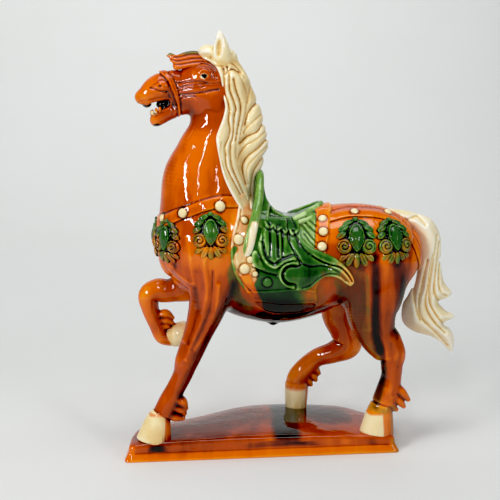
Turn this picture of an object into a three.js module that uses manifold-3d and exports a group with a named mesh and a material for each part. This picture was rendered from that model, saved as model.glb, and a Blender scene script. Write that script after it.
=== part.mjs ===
// A saddled horse in three-colour glazed pottery, standing on a low plinth.
// Millimetres. The horse faces -X, its near side is -Y and +Z is up. The origin is on the
// plinth's underside, below the horse's middle plane and halfway along the plinth.
// A limb is a row of stations [x, y, z, half width across the horse, half depth along it].
import * as THREE from 'three';
import Module from 'manifold-3d';
import { mergeVertices } from 'three/addons/utils/BufferGeometryUtils.js';

const wasm = await Module();
wasm.setup();

// Driving dimensions of the plinth: straight along the near side, with a bulge at the back that
// carries the off hind hoof. The back is a row of [x, y], and each ring is [inset, height].
const plinth = {
  halfLength: 139,
  frontY: -51,
  backY: 66.5,
  back: [[139, -46], [137, -10], [131, 22], [113, 44], [97, 56], [80, 60.5], [52, 65], [24, 66.5], [0, 65],
    [-21, 58.5], [-42, 47], [-64, 34], [-90, 24], [-114, 17], [-129, 5], [-136, -18], [-139, -46]],
  cornerRun: 5,
  arcSteps: 24,
  endDrop: 0.24,
  rings: [[0, 0], [4, 8], [5.2, 18], [8, 20.5], [22, 22.8], [48, 24.6]],
};

// Driving dimensions of the applied work
const bead = { radius: 5.3, centreRise: 3.7, around: 6, rings: 3 };
const ornament = {
  tall: 24, width: 16.5, lobes: 7, lobeRise: 0.08, thick: 5, edgeShare: 0.7, sunk: 2.5, bossShare: 0.5, bossRise: 2.6,
};
const harnessRise = 2.2;
const clothRise = 3.2;
const flapRise = 6.4;
const drapeRise = 5.4;
const pleats = { first: 2, last: 29, count: 4, top: 232, foot: 206, lean: 1, width: 3.4, depth: 2.4, clear: 4 };
const pommelReach = [-12, 10];
const seatReach = [8, 72];
const maneRise = 3;
const maneLocks = {
  count: 4, lastStart: 0.58, root: 0.14, fall: 0.5, wave: 4, stand: 2.2, thick: [3, 4.6, 4.6, 2], width: [5, 8, 8, 3],
};
const eye = { x: -57, y: 17.5, z: 376, radius: 5, around: 8, rings: 4 };
const headBandRise = 1.6;
const reachAcross = 90;

const barrelStations = [
  [-81, 0, 211, 29, 29],
  [-66, 0, 207, 43, 44],
  [-40, 0, 202, 49, 49],
  [-10, 0, 190.5, 50, 56],
  [14, 0, 182, 51, 54.5],
  [30, 0, 181.5, 50.5, 53],
  [46, 0, 184.5, 50, 51.5],
  [60, 0, 190.5, 49, 50.5],
  [75, 0, 196, 48, 51],
  [105, 0, 199, 49, 49],
  [130, 0, 197, 45, 44],
  [146, 0, 192, 34, 33],
];

const neckStations = [
  [-34, 0, 372, 19, 23],
  [-39, 0, 346, 22, 27],
  [-42.5, 0, 322, 24.5, 27.7],
  [-50, 0, 300, 29, 32.5],
  [-55, 0, 278, 34, 40],
  [-56.5, 0, 254, 40, 42],
  [-56, 0, 228, 44, 42.5],
  [-58.5, 0, 205, 42, 38.5],
  [-62, 0, 188, 34, 29.5],
];

const headStations = [
  [-32, 0, 374, 15, 20],
  [-46, 0, 368, 20, 25],
  [-62, 0, 364, 20, 24],
  [-77, 0, 363, 15, 20],
  [-89, 0, 365.5, 13, 15.5],
  [-101, 0, 362, 13.5, 14],
  [-111, 0, 356, 12, 10],
  [-117, 0, 352, 8, 6],
];

const jawStations = [
  [-64, 0, 352, 12, 11],
  [-78, 0, 345, 10.5, 8],
  [-90, 0, 339.5, 9, 7.2],
  [-99, 0, 335, 8.5, 7],
  [-104, 0, 335.5, 7, 5],
];

const nearForeStations = [
  [-52, -26, 196, 20, 26],
  [-51, -31, 168, 19, 22],
  [-55.5, -33, 148, 16, 18],
  [-63.5, -34, 126, 14, 14],
  [-70.5, -34, 109, 12.5, 12.8],
  [-75.5, -34, 97, 12, 11.8],
  [-79.5, -34, 84, 10, 9.8],
  [-86.5, -34, 70, 9.5, 9.4],
  [-93, -34, 58, 10.5, 10],
  [-99, -34, 46, 10.5, 10],
];

const farForeStations = [
  [-50, 26, 182, 20, 26],
  [-68, 31, 163, 17, 19],
  [-88, 33, 155.5, 13, 12.6],
  [-102, 34, 155, 12, 13],
  [-111, 34, 149.5, 11.5, 11.8],
  [-110, 34, 135, 10, 9],
  [-103.5, 34, 118, 9, 8.2],
  [-98, 34, 107, 9.5, 8.6],
  [-90, 34, 104, 9.5, 8.4],
];

const nearHindStations = [
  [112, -24, 190, 25, 42],
  [112, -30, 162, 22, 33],
  [108, -33, 140, 18, 27],
  [115, -34, 121, 14.5, 19.5],
  [125, -34, 108, 12.5, 18],
  [131.5, -34, 98, 11.5, 14.5],
  [132, -34, 88, 10, 11.3],
  [131.5, -34, 76, 9.5, 10.5],
  [129, -34, 63, 10.5, 12],
  [125, -34, 50, 11, 12.5],
];

const farHindStations = [
  [112, 26, 180, 25, 36],
  [96, 32, 148, 19, 28],
  [92, 36, 125, 14.5, 20],
  [97.5, 38, 105, 13, 15.5],
  [100, 38, 91, 12, 16],
  [86, 39, 82.5, 10.5, 12],
  [68, 40, 76.5, 10, 10],
  [54.5, 40, 65.5, 10, 10.5],
  [47.5, 41, 55, 10.5, 11.5],
  [46.5, 42, 46, 11, 12],
];

const hoofStations = {
  nearFore: [[-100, -34, 50, 10.5, 10.5], [-104, -34, 37, 12, 14], [-108.5, -33.5, 16, 13, 18.3]],
  nearHind: [[123, -34, 49, 11, 12.5], [120, -34, 37, 12.2, 15], [117.5, -33.5, 15, 13, 18.8]],
  farHind: [[47, 42, 49, 12, 13.2], [46, 42, 38, 13.2, 12.8], [45.5, 42, 21, 13, 11.8]],
  farFore: [[-92, 34, 106, 10, 9.5], [-84, 34, 107, 13, 12.5], [-72, 34, 110, 13, 12.5]],
};

// Fetlock feathers, each a fan of three lobes: where it springs from, the slope of its middle
// lobe in degrees, and how far it reaches
const tufts = [
  { root: [-90, -34, 51], slope: -12, reach: 15 },
  { root: [131, -34, 58], slope: -30, reach: 20 },
  { root: [54, 41, 60], slope: -18, reach: 19 },
  { root: [-101, 34, 121], slope: 5, reach: 17 },
];
const tuftFan = { lobes: 3, spread: 100, notch: 0.74, halfWidth: 6 };

const crestStations = [
  [-60, 0, 392, 9, 6],
  [-46, 0, 392, 13, 9],
  [-32, 0, 387, 16, 14],
  [-19, 0, 366, 17, 15],
  [-10, 0, 342, 17, 15],
  [-6, 0, 318, 17, 15.5],
  [-8, 0, 298, 17, 14.5],
  [-16, 0, 278, 18, 14.5],
  [-22, 0, 258, 20, 13],
];

// The mane's hanging edge on the near side, and the crest that its locks spring from
const maneCrest = [[-26, 392], [-14, 372], [-2, 346], [3, 322], [1, 300], [-6, 282], [-12, 262]];
const maneFront = [[-41, 385], [-40, 364], [-37, 344], [-43, 326], [-49, 306], [-42, 284], [-30, 266], [-16, 246]];

const tailStations = [
  [132, 0, 231, 11, 8],
  [150, 0, 232, 13, 8.5],
  [166, 0, 225, 14, 11.5],
  [176, 0, 207, 14, 13.5],
  [176, 0, 184, 15, 13.5],
  [174, 0, 160, 16, 17],
  [172, 0, 140, 16, 21],
  [177, 0, 121, 15, 19],
  [187, 0, 108, 11, 12],
  [198, 0, 99, 6, 6.5],
];
const tailLocks = [
  [[180, -5, 188, 5, 6], [190, -6, 168, 5, 6], [201, -5, 154, 2.5, 3]],
  [[182, 6, 172, 5, 6], [193, 6, 146, 5, 6], [205, 4, 130, 2.5, 3]],
  [[172, -9, 196, 6, 6], [167, -13, 165, 6, 7], [161, -12, 135, 5, 6], [162, -9, 119, 2.5, 3]],
  [[178, -8, 165, 6, 6], [182, -12, 138, 6, 7], [195, -9, 114, 4.5, 5], [205, -5, 104, 2, 2.5]],
];

const earStations = {
  near: [[-40, -11, 392, 6, 9], [-38, -13, 402, 5.5, 7.6], [-38.5, -14, 411, 3.8, 4.6], [-40, -14.5, 417, 1.6, 1.8]],
  far: [[-46, 11, 390, 6, 9], [-49, 13, 398, 5, 6.5], [-52, 14, 404, 2.4, 3]],
};
const forelockStations = [
  [-46, 0, 391, 12, 8],
  [-60, 0, 391, 11.5, 8],
  [-73, 0, 389.5, 9.5, 7.5],
  [-83, 0, 390, 6.5, 5.5],
  [-88, 0, 393, 3.5, 3.5],
];

// Outlines seen from the side, as [x, z]
const outlines = {
  breastStrap: [[-26, 261], [-43, 261], [-59, 258], [-72, 253], [-86, 247], [-110, 237],
    [-110, 226], [-81, 238], [-59, 246], [-43, 250], [-24, 250]],
  cloth: [[-20, 262], [-28, 239], [-33, 223], [-35, 206], [-33, 192], [-28, 181], [-19, 168], [-8, 154],
    [-1, 120], [46, 120], [46, 170], [54, 180], [64, 184], [73, 190], [52, 214], [44, 262]],
  rearStrap: [[51, 262], [51, 210], [66, 202], [67, 262]],
  rumpStrap: [[62, 262], [66, 231], [81, 237], [98, 238], [113, 237.5], [128, 232], [140, 222], [150, 205],
    [175, 205], [175, 262]],
  rumpStrapUpper: [[60, 262], [66, 239.5], [82, 244], [99, 245], [115, 243.5], [131, 238], [144, 228],
    [154, 212], [175, 212], [175, 262]],
  flap: [[-3, 238], [-9, 232], [-10, 213], [-4, 203], [2, 196], [12, 193], [19, 199], [33, 204],
    [46, 196], [40, 218], [36, 234], [34, 238]],
  drape: [[33, 238], [36, 234], [38, 222], [45, 212], [56, 204], [69, 198], [80, 191], [87, 182], [89, 174],
    [84, 171], [77, 177], [70, 182], [63, 184], [54, 181], [46, 176], [34, 177], [20, 178], [13, 186],
    [19, 198], [30, 205]],
  seat: [[-6, 236], [-5, 262], [-4, 278], [0, 282], [5, 279], [4.5, 263], [9, 251], [17, 242], [27, 238],
    [38, 238], [48, 241], [58, 246.5], [64, 248], [60, 240], [46, 229], [20, 223]],
  pommelFront: [[-34, 215], [-33, 236], [-22, 246], [-13, 262], [-8, 279], [0, 285], [8, 279], [13, 262],
    [22, 246], [33, 236], [34, 215]],
  seatFront: [[-23, 215], [-21, 236], [-16, 244], [-8, 250], [8, 250], [16, 244], [21, 236], [23, 215]],
  noseband: [[-101, 384], [-94, 384], [-84, 370], [-79, 356], [-77, 336], [-84, 336], [-87, 355], [-92, 367]],
  cheekStrap: [[-84, 362], [-60, 364], [-36, 369], [-36, 361], [-60, 356.5], [-84, 354]],
};

const pommelRim = [[-20, -49, 205, 5, 4], [-14, -47, 221, 5.5, 4], [-9, -40, 241, 5.5, 4.5], [-3, -22, 264, 5.5, 5],
  [0, 0, 277, 6, 5]];
const cantleRim = [[33, -21, 234.5, 4, 3.5], [46, -18.5, 238.5, 4, 3.5], [56, -10, 244, 4, 3.5], [63, 0, 248, 4, 4]];
const scrollRoll = [[14, -55, 188, 6, 9], [26, -56, 188, 7, 11], [44, -55, 190, 5, 9], [62, -53, 190, 4, 6]];

const beadPlaces = [[-43, 256], [-78, 247], [-26, 238], [-27, 220], [-22, 194], [-1, 181],
  [58, 240], [59, 227], [57, 214], [91, 243], [125, 240]];
const ornamentPlaces = [
  { at: [-53, 223], scale: 1 },
  { at: [90, 217], scale: 1.04 },
  { at: [127, 217], scale: 0.96 },
];
// The breast ornaments, by their turn round the chest from straight ahead
const breastTurns = [0, 42, -42];
const breastOrnament = { axisX: -60, height: 215, scale: 0.8 };

// Closed body of a geometry, ready to be joined or cut
function solid(geometry) {
  const bare = new THREE.BufferGeometry();
  bare.setAttribute('position', geometry.getAttribute('position'));
  bare.setIndex(geometry.getIndex());
  const merged = mergeVertices(bare, 1e-4);
  return new wasm.Manifold(new wasm.Mesh({
    numProp: 3,
    vertProperties: new Float32Array(merged.getAttribute('position').array),
    triVerts: new Uint32Array(merged.getIndex().array),
  }));
}

function joined(parts) {
  return parts.reduce((whole, part) => whole.add(part));
}

function middle(ring) {
  return ring.reduce((sum, point) => sum.add(point), new THREE.Vector3()).divideScalar(ring.length);
}

// Closed skin over rings that all have the same number of points, from one tip to the other
function skinOver(rings, tips = rings.slice(0, 1).concat(rings.slice(-1)).map(middle)) {
  const sides = rings[0].length;
  const points = rings.flat();
  const faces = [];
  for (let r = 0; r + 1 < rings.length; r += 1) {
    for (let s = 0; s < sides; s += 1) {
      const a = r * sides + s;
      const b = r * sides + (s + 1) % sides;
      faces.push(a, b, b + sides, a, b + sides, a + sides);
    }
  }
  const first = points.push(tips[0]) - 1;
  const last = points.push(tips[1]) - 1;
  const end = (rings.length - 1) * sides;
  for (let s = 0; s < sides; s += 1) {
    const next = (s + 1) % sides;
    faces.push(first, next, s, last, end + s, end + next);
  }
  const geometry = new THREE.BufferGeometry().setFromPoints(points);
  geometry.setIndex(faces);
  return geometry;
}

// A limb through its stations, with domed ends
function limb(stations, { sides = 9, grow = 0, dome = 0.6, across = [0, 1, 0] } = {}) {
  const line = new THREE.CatmullRomCurve3(stations.map(([x, y, z]) => new THREE.Vector3(x, y, z)));
  const radii = new THREE.CatmullRomCurve3(stations.map(([, , , w, d]) => new THREE.Vector3(w + grow, d + grow, 0)));
  const ring = (t, shrink = 1, shift = 0) => {
    const along = line.getTangent(t);
    const side = new THREE.Vector3(...across).projectOnPlane(along).normalize();
    const depth = new THREE.Vector3().crossVectors(along, side);
    const { x: wide, y: deep } = radii.getPoint(t);
    const centre = line.getPoint(t).addScaledVector(along, shift * Math.min(wide, deep));
    return Array.from({ length: sides }, (_, s) => {
      const angle = 2 * Math.PI * s / sides;
      return centre.clone()
        .addScaledVector(side, wide * shrink * Math.cos(angle))
        .addScaledVector(depth, deep * shrink * Math.sin(angle));
    });
  };
  const shoulder = 0.7;
  const spans = stations.length - 1;
  const rings = [ring(0, shoulder, -dome * shoulder), ...stations.map((_, i) => ring(i / spans)),
    ring(1, shoulder, dome * shoulder)];
  return solid(skinOver(rings, [middle(ring(0, 0, -dome)), middle(ring(1, 0, dome))]));
}

// A hoof: wide and level where it stands
function hoof(stations) {
  const facets = 12;
  const rings = stations.map(([x, y, z, wide, deep]) => Array.from({ length: facets }, (_, s) => {
    const angle = 2 * Math.PI * s / facets;
    return new THREE.Vector3(x - deep * Math.cos(angle), y + wide * Math.sin(angle), z);
  }));
  return solid(skinOver(rings));
}

const farSide = (stations) => stations.map(([x, y, ...rest]) => [x, -y, ...rest]);
const bothSides = (stations, options) => [limb(stations, options), limb(farSide(stations), options)];

// An arch over the horse from its near half, whose last station is on the middle plane. Its half
// widths are measured along the horse.
const arch = (half, options) => (
  limb([...half, ...farSide(half.slice(0, -1)).reverse()], { across: [1, 0, 0], ...options }));

// A wall that has a side outline, from one place across the horse to another
function wall(outline, from, to) {
  const shape = new THREE.Shape(outline.map(([x, z]) => new THREE.Vector2(x, z)));
  const geometry = new THREE.ExtrudeGeometry(shape, { depth: to - from, bevelEnabled: false });
  return solid(geometry.rotateX(Math.PI / 2).translate(0, to, 0));
}

const throughHorse = (outline) => wall(outline, -reachAcross, reachAcross);

// A wall along the horse behind a front outline
function alongHorse(outline, from, to) {
  const shape = new THREE.Shape(outline.map(([y, z]) => new THREE.Vector2(y, z)));
  const geometry = new THREE.ExtrudeGeometry(shape, { depth: to - from, bevelEnabled: false });
  return solid(geometry.rotateX(Math.PI / 2).rotateZ(Math.PI / 2).translate(from, 0, 0));
}

function trunk(grow) {
  return limb(barrelStations, { sides: 16, grow }).add(limb(neckStations, { sides: 12, grow }));
}

const bareTrunk = trunk(0);

function meshOf(body) {
  const { vertProperties, triVerts } = body.getMesh();
  const geometry = new THREE.BufferGeometry();
  geometry.setAttribute('position', new THREE.BufferAttribute(new Float32Array(vertProperties), 3));
  geometry.setIndex(new THREE.BufferAttribute(new Uint32Array(triVerts), 1));
  geometry.computeVertexNormals();
  return new THREE.Mesh(geometry, new THREE.MeshStandardMaterial({ side: THREE.DoubleSide }));
}

// Where a ray first meets a body, with the way that its surface faces there
function touch(target, from, toward) {
  const [hit] = new THREE.Raycaster(from, toward.clone().normalize()).intersectObject(target);
  return hit && { point: hit.point, facing: hit.normal.clone() };
}
function touchSide(target, x, z, side) {
  return touch(target, new THREE.Vector3(x, side * reachAcross, z), new THREE.Vector3(0, -side, 0));
}

const trunkMesh = meshOf(bareTrunk);
const crest = limb(crestStations, { sides: 8 });
const maneBed = meshOf(bareTrunk.add(crest).add(limb(headStations)));

function plinthRing([inset, height]) {
  const { halfLength, frontY, backY, back, cornerRun, arcSteps, endDrop } = plinth;
  const long = halfLength - inset;
  const near = frontY + inset;
  const deep = (backY - inset - near) / (backY - frontY);
  const curve = new THREE.CatmullRomCurve3(back.map(([x, y]) => new THREE.Vector3(x, y, 0)));
  const points = [[-long + cornerRun, near], [0, near], [long - cornerRun, near],
    ...curve.getPoints(arcSteps).map(({ x, y }) => [x * long / halfLength, near + (y - frontY) * deep])];
  return points.map(([x, y]) => new THREE.Vector3(x, y, height * (1 - endDrop * (x / halfLength) ** 2)));
}

function makePlinth() {
  return solid(skinOver(plinth.rings.map(plinthRing)));
}

function makeTuft({ root: [x, y, z], slope, reach }) {
  const { lobes, spread, notch, halfWidth } = tuftFan;
  const edge = Array.from({ length: 3 * lobes + 1 }, (_, i) => {
    const turn = THREE.MathUtils.degToRad(slope + spread * (i / (3 * lobes) - 0.5));
    const long = reach * (i % 3 === 0 ? notch : 1);
    return [x + long * Math.cos(turn), z + long * Math.sin(turn)];
  });
  return wall([[x, z], ...edge], y - halfWidth, y + halfWidth);
}

// One lock of the mane, from the crest down to the hanging edge, lying on the neck
function maneLock(start, side) {
  const along = (points) => new THREE.CatmullRomCurve3(points.map(([x, z]) => new THREE.Vector3(x, 0, z)));
  const back = along(maneCrest);
  const front = along(maneFront);
  const { root, fall, wave, width, thick, stand } = maneLocks;
  const stations = [0, 0.3, 0.65, 1].map((share, i) => {
    const t = Math.min(1, start + fall * share);
    const spot = back.getPoint(t).lerp(front.getPoint(t), root + (1 - root) * Math.sqrt(share));
    spot.x += wave * Math.sin(2 * Math.PI * share);
    const { point } = touchSide(maneBed, spot.x, spot.z, side);
    return [spot.x, point.y + side * stand, spot.z, thick[i], width[i]];
  });
  return limb(stations, { sides: 5, dome: 0.3 });
}

function makeMane() {
  const locks = [];
  for (let i = 0; i < maneLocks.count; i += 1) {
    const start = maneLocks.lastStart * i / (maneLocks.count - 1);
    locks.push(maneLock(start, -1), maneLock(start, 1));
  }
  const lying = limb(neckStations, { sides: 12, grow: maneRise });
  const hanging = throughHorse([...maneCrest, ...maneFront.toReversed()]).intersect(lying);
  return joined([crest, hanging, ...locks]);
}

function makeTail() {
  return joined([limb(tailStations), ...tailLocks.map((lock) => limb(lock, { sides: 5 }))]);
}

// A leaf ornament that lies on the trunk round the place where a ray meets it, with a scalloped
// outline and a boss in its middle
function ornamentAt({ point, facing }, scale) {
  const { tall, width, lobes, lobeRise, thick, edgeShare, bossShare, bossRise, sunk } = ornament;
  const up = new THREE.Vector3(0, 0, 1).addScaledVector(facing, -facing.z).normalize();
  const right = new THREE.Vector3().crossVectors(up, facing);
  const lying = (x, z, rise) => {
    const above = point.clone().addScaledVector(right, x).addScaledVector(up, z);
    const { point: foot } = touch(trunkMesh, above.addScaledVector(facing, reachAcross), facing.clone().negate());
    return foot.addScaledVector(facing, rise);
  };
  const ring = (share, rise) => Array.from({ length: 2 * lobes }, (_, i) => {
    const turn = Math.PI * i / lobes;
    const reach = scale * share * (1 + lobeRise * Math.cos(lobes * turn));
    return lying(-width * reach * Math.sin(turn), tall * reach * Math.cos(turn), rise);
  });
  const rings = [ring(1, -sunk), ring(1, thick * edgeShare), ring(bossShare, thick)];
  return solid(skinOver(rings, [lying(0, 0, -sunk), lying(0, 0, thick + bossRise)]));
}

function makeOrnaments() {
  const sides = ornamentPlaces.flatMap(({ at: [x, z], scale }) => (
    [-1, 1].map((side) => ornamentAt(touchSide(trunkMesh, x, z, side), scale))));
  const { axisX, height, scale } = breastOrnament;
  const breast = breastTurns.map((degrees) => {
    const turn = THREE.MathUtils.degToRad(degrees);
    const out = new THREE.Vector3(-Math.cos(turn), Math.sin(turn), 0);
    const from = new THREE.Vector3(axisX, 0, height).addScaledVector(out, reachAcross);
    return ornamentAt(touch(trunkMesh, from, out.negate()), scale);
  });
  return joined([...sides, ...breast]);
}

function makeBeads() {
  const beads = beadPlaces.flatMap(([x, z]) => [-1, 1].map((side) => {
    const { point, facing } = touchSide(trunkMesh, x, z, side);
    const centre = point.addScaledVector(facing, bead.centreRise);
    return solid(new THREE.SphereGeometry(bead.radius, bead.around, bead.rings).translate(...centre));
  }));
  return joined(beads);
}

// Cloth and straps: the trunk's own skin, raised, inside a side outline
function makeHarness() {
  const raised = trunk(harnessRise);
  const { breastStrap, rearStrap, rumpStrap, rumpStrapUpper } = outlines;
  const rump = throughHorse(rumpStrap).subtract(throughHorse(rumpStrapUpper));
  return joined([throughHorse(breastStrap), throughHorse(rearStrap), rump]).intersect(raised);
}

function makePleatCuts() {
  const { first, last, count, top, foot, lean, width, depth, clear } = pleats;
  const outer = trunk(flapRise + clear);
  const inner = trunk(flapRise - depth);
  const cuts = Array.from({ length: count }, (_, i) => {
    const x = first + (last - first) * i / (count - 1);
    return throughHorse([[x, top], [x - lean, foot], [x - lean + width, foot], [x + width, top]]);
  });
  return joined(cuts).intersect(outer).subtract(inner);
}

function makeSaddle() {
  const cloth = throughHorse(outlines.cloth).intersect(trunk(clothRise));
  const flap = throughHorse(outlines.flap).intersect(trunk(flapRise)).subtract(makePleatCuts());
  const drape = throughHorse(outlines.drape).intersect(trunk(drapeRise));
  const widths = alongHorse(outlines.pommelFront, ...pommelReach).add(alongHorse(outlines.seatFront, ...seatReach));
  const seat = throughHorse(outlines.seat).intersect(widths);
  const rims = [pommelRim, cantleRim].map((rim) => arch(rim, { sides: 6 }));
  return joined([cloth, flap, drape, seat, ...rims, ...bothSides(scrollRoll, { sides: 6 })]);
}

function makeHead() {
  const skull = limb(headStations);
  const raised = limb(headStations, { grow: headBandRise });
  const bands = throughHorse(outlines.noseband).add(throughHorse(outlines.cheekStrap)).intersect(raised);
  const ball = new THREE.SphereGeometry(eye.radius, eye.around, eye.rings);
  const eyes = [-1, 1].map((side) => solid(ball.clone().translate(eye.x, side * eye.y, eye.z)));
  const ears = [limb(earStations.near, { sides: 6 }), limb(earStations.far, { sides: 6 })];
  return joined([skull, bands, limb(jawStations), ...eyes, ...ears, limb(forelockStations, { sides: 7 })]);
}

function makeLegs() {
  const legs = [nearForeStations, farForeStations, nearHindStations, farHindStations];
  const { nearFore, nearHind, farHind, farFore } = hoofStations;
  const standing = [nearFore, nearHind, farHind].map(hoof);
  return joined([...legs.map((leg) => limb(leg)), ...standing, limb(farFore, { dome: 0.2 }), ...tufts.map(makeTuft)]);
}

function makeHorse() {
  return joined([makePlinth(), bareTrunk, makeLegs(), makeHead(), makeMane(), makeTail(), makeSaddle(),
    makeHarness(), makeOrnaments(), makeBeads()]);
}

const glaze = new THREE.MeshStandardMaterial({ color: 0xb8530f, roughness: 0.14, metalness: 0 });
const horse = meshOf(makeHorse());
horse.material = glaze;
horse.name = 'sancai_horse';

const figure = new THREE.Group();
figure.add(horse);

export default figure;
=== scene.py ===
# Saddled horse in three-colour glaze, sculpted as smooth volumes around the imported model
import math
from concurrent.futures import ThreadPoolExecutor
import bpy
import numpy as np
import openvdb
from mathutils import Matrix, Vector


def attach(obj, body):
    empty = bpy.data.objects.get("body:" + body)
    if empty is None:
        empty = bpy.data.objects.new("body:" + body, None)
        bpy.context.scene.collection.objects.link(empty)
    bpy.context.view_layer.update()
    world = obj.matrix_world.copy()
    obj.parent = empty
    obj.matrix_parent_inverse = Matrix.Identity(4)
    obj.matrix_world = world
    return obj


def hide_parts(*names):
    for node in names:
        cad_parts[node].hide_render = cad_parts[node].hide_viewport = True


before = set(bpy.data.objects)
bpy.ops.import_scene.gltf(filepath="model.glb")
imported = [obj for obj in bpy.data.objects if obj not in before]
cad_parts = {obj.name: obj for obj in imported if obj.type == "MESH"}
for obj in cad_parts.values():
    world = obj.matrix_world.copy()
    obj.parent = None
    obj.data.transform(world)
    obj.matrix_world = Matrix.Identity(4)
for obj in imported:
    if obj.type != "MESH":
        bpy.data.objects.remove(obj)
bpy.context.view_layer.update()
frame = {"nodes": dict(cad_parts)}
horseNode = "sancai_horse"
mm = 0.001
detail = 1.0  # coarser volumes while trying things


# Volumes: each shape has a box and a distance in millimetres, below nought inside
def melt(a, b, soft):
    near = np.maximum(soft - np.abs(a - b), 0)
    return np.minimum(a, b) - near * near * (0.25 / soft)


def carve(a, b, soft):
    return -melt(-a, b, soft)


def meet(a, b, soft):
    return -melt(-a, -b, soft)


def ease(x, low, high):
    t = np.clip((x - low) / (high - low), 0, 1)
    return t * t * (3 - 2 * t)


def curveThrough(rows, perSpan=5, closed=False):
    rows = np.asarray(rows, float)
    if closed:
        padded = np.vstack([rows[-1:], rows, rows[:2]])
    else:
        padded = np.vstack([2 * rows[0] - rows[1], rows, 2 * rows[-1] - rows[-2]])
    out = []
    for a, b, c, d in zip(padded, padded[1:], padded[2:], padded[3:]):
        for t in np.arange(perSpan) / perSpan:
            out.append(0.5 * (2 * b + (c - a) * t + (2 * a - 5 * b + 4 * c - d) * t * t
                              + (3 * b - a - 3 * c + d) * t ** 3))
    if not closed:
        out.append(rows[-1])
    return np.array(out)


def limb(stations, grow=0.0, dome=0.6, perSpan=5, across=(0, 1, 0), reach=26):
    # A body through stations [x, y, z, half width across, half depth along]
    rows = curveThrough(stations, perSpan)
    centres, radii = rows[:, :3], np.maximum(rows[:, 3:5] + grow, 0.4)
    along = np.gradient(centres, axis=0)
    along /= np.linalg.norm(along, axis=1)[:, None]
    side = np.asarray(across, float) - along * (along @ np.asarray(across, float))[:, None]
    side /= np.linalg.norm(side, axis=1)[:, None]
    table = np.hstack([centres, side, np.cross(along, side), along, radii]).astype(np.float32)
    wide = radii.max(1)[:, None]
    boxLow = np.minimum((centres - wide)[1:], (centres - wide)[:-1])
    boxHigh = np.maximum((centres + wide)[1:], (centres + wide)[:-1])

    def distance(p):
        best = np.full(len(p), 1e9, np.float32)
        spot = np.zeros(len(p), np.int32)
        share = np.zeros(len(p), np.float32)
        low, high = p.min(0) - reach, p.max(0) + reach
        for i in np.flatnonzero(~((boxLow > high).any(1) | (boxHigh < low).any(1))):
            step = table[i + 1, :3] - table[i, :3]
            q = p - table[i, :3]
            t = np.clip(q @ step / float(step @ step), 0, 1)
            q -= t[:, None] * step
            far = np.einsum("ij,ij->i", q, q)
            closer = far < best
            best[closer], spot[closer], share[closer] = far[closer], i, t[closer]
        row = table[spot] * (1 - share[:, None]) + table[spot + 1] * share[:, None]
        q = p - row[:, :3]
        u, v, w = (np.einsum("ij,ij->i", q, row[:, k:k + 3]) for k in (3, 6, 9))
        a, b = row[:, 12], row[:, 13]
        atEnd = ((spot == 0) & (share <= 0) & (w < 0)) | ((spot == len(table) - 2) & (share >= 1) & (w > 0))
        w = np.where(atEnd, w, 0)
        end = dome * np.minimum(a, b)
        k0 = np.sqrt((u / a) ** 2 + (v / b) ** 2 + (w / end) ** 2)
        k1 = np.sqrt((u / a ** 2) ** 2 + (v / b ** 2) ** 2 + (w / end ** 2) ** 2)
        found = np.where(k0 < 0.05, -np.minimum(a, b), k0 * (k0 - 1) / np.maximum(k1, 1e-6))
        return np.where(best < 1e8, found, 60).astype(np.float32)

    margin = radii.max() + 1
    return {"low": centres.min(0) - margin, "high": centres.max(0) + margin, "distance": distance}


def egg(centre, radii, turn=0.0):
    # An ellipsoid, turned about the across axis by degrees
    centre, radii = np.asarray(centre, np.float32), np.asarray(radii, np.float32)
    c, s = math.cos(math.radians(turn)), math.sin(math.radians(turn))

    def distance(p):
        q = p - centre
        x, z = q[:, 0] * c + q[:, 2] * s, q[:, 2] * c - q[:, 0] * s
        q = np.stack([x, q[:, 1], z], 1)
        k0 = np.sqrt(((q / radii) ** 2).sum(1))
        k1 = np.sqrt(((q / radii ** 2) ** 2).sum(1))
        return np.where(k0 < 0.05, -radii.min(), k0 * (k0 - 1) / np.maximum(k1, 1e-6))

    return {"low": centre - radii.max(), "high": centre + radii.max(), "distance": distance}


def lineDistance(p, points):
    # Distance to a path [x, z] seen from the side
    x, z = p[:, 0], p[:, 2]
    best = np.full(len(p), 1e9, np.float32)
    points = np.asarray(points, np.float32)
    for (ax, az), (bx, bz) in zip(points, points[1:]):
        ex, ez = bx - ax, bz - az
        wx, wz = x - ax, z - az
        t = np.clip((wx * ex + wz * ez) / max(ex * ex + ez * ez, 1e-9), 0, 1)
        best = np.minimum(best, (wx - ex * t) ** 2 + (wz - ez * t) ** 2)
    return np.sqrt(best)


def sideOutline(outline, smooth=4):
    # Distance to a closed outline [x, z] seen from the side
    points = curveThrough(outline, smooth, closed=True) if smooth > 1 else np.asarray(outline, float)
    points = np.vstack([points, points[:1]]).astype(np.float32)

    def distance(p):
        x, z = p[:, 0], p[:, 2]
        within = np.zeros(len(p), bool)
        for (ax, az), (bx, bz) in zip(points, points[1:]):
            if abs(bz - az) > 1e-9:
                within ^= ((az > z) != (bz > z)) & (x < ax + (bx - ax) * (z - az) / (bz - az))
        away = lineDistance(p, points)
        return np.where(within, -away, away)

    return distance


def bell(t):
    return np.exp(-t * t)


def pressed(d, p, lines):
    # Grooves and ridges along side paths: [path, how deep (negative stands out), half width]
    for line, deep, half in lines:
        d = d + deep * bell(lineDistance(p, line) / half)
    return d


def readyForm(form, smooth=3):
    # A piece's settings with its outline, strands and pressed lines made ready for use
    form = dict(form)
    if "outline" in form:
        form["outline"] = sideOutline(form["outline"], smooth)
    form["strands"] = [curveThrough(line, 3) for line in form.get("strands", [])]
    form["lines"] = [(curveThrough(line, 3), deep, half) for line, deep, half in form.get("lines", [])]
    return form


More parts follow.
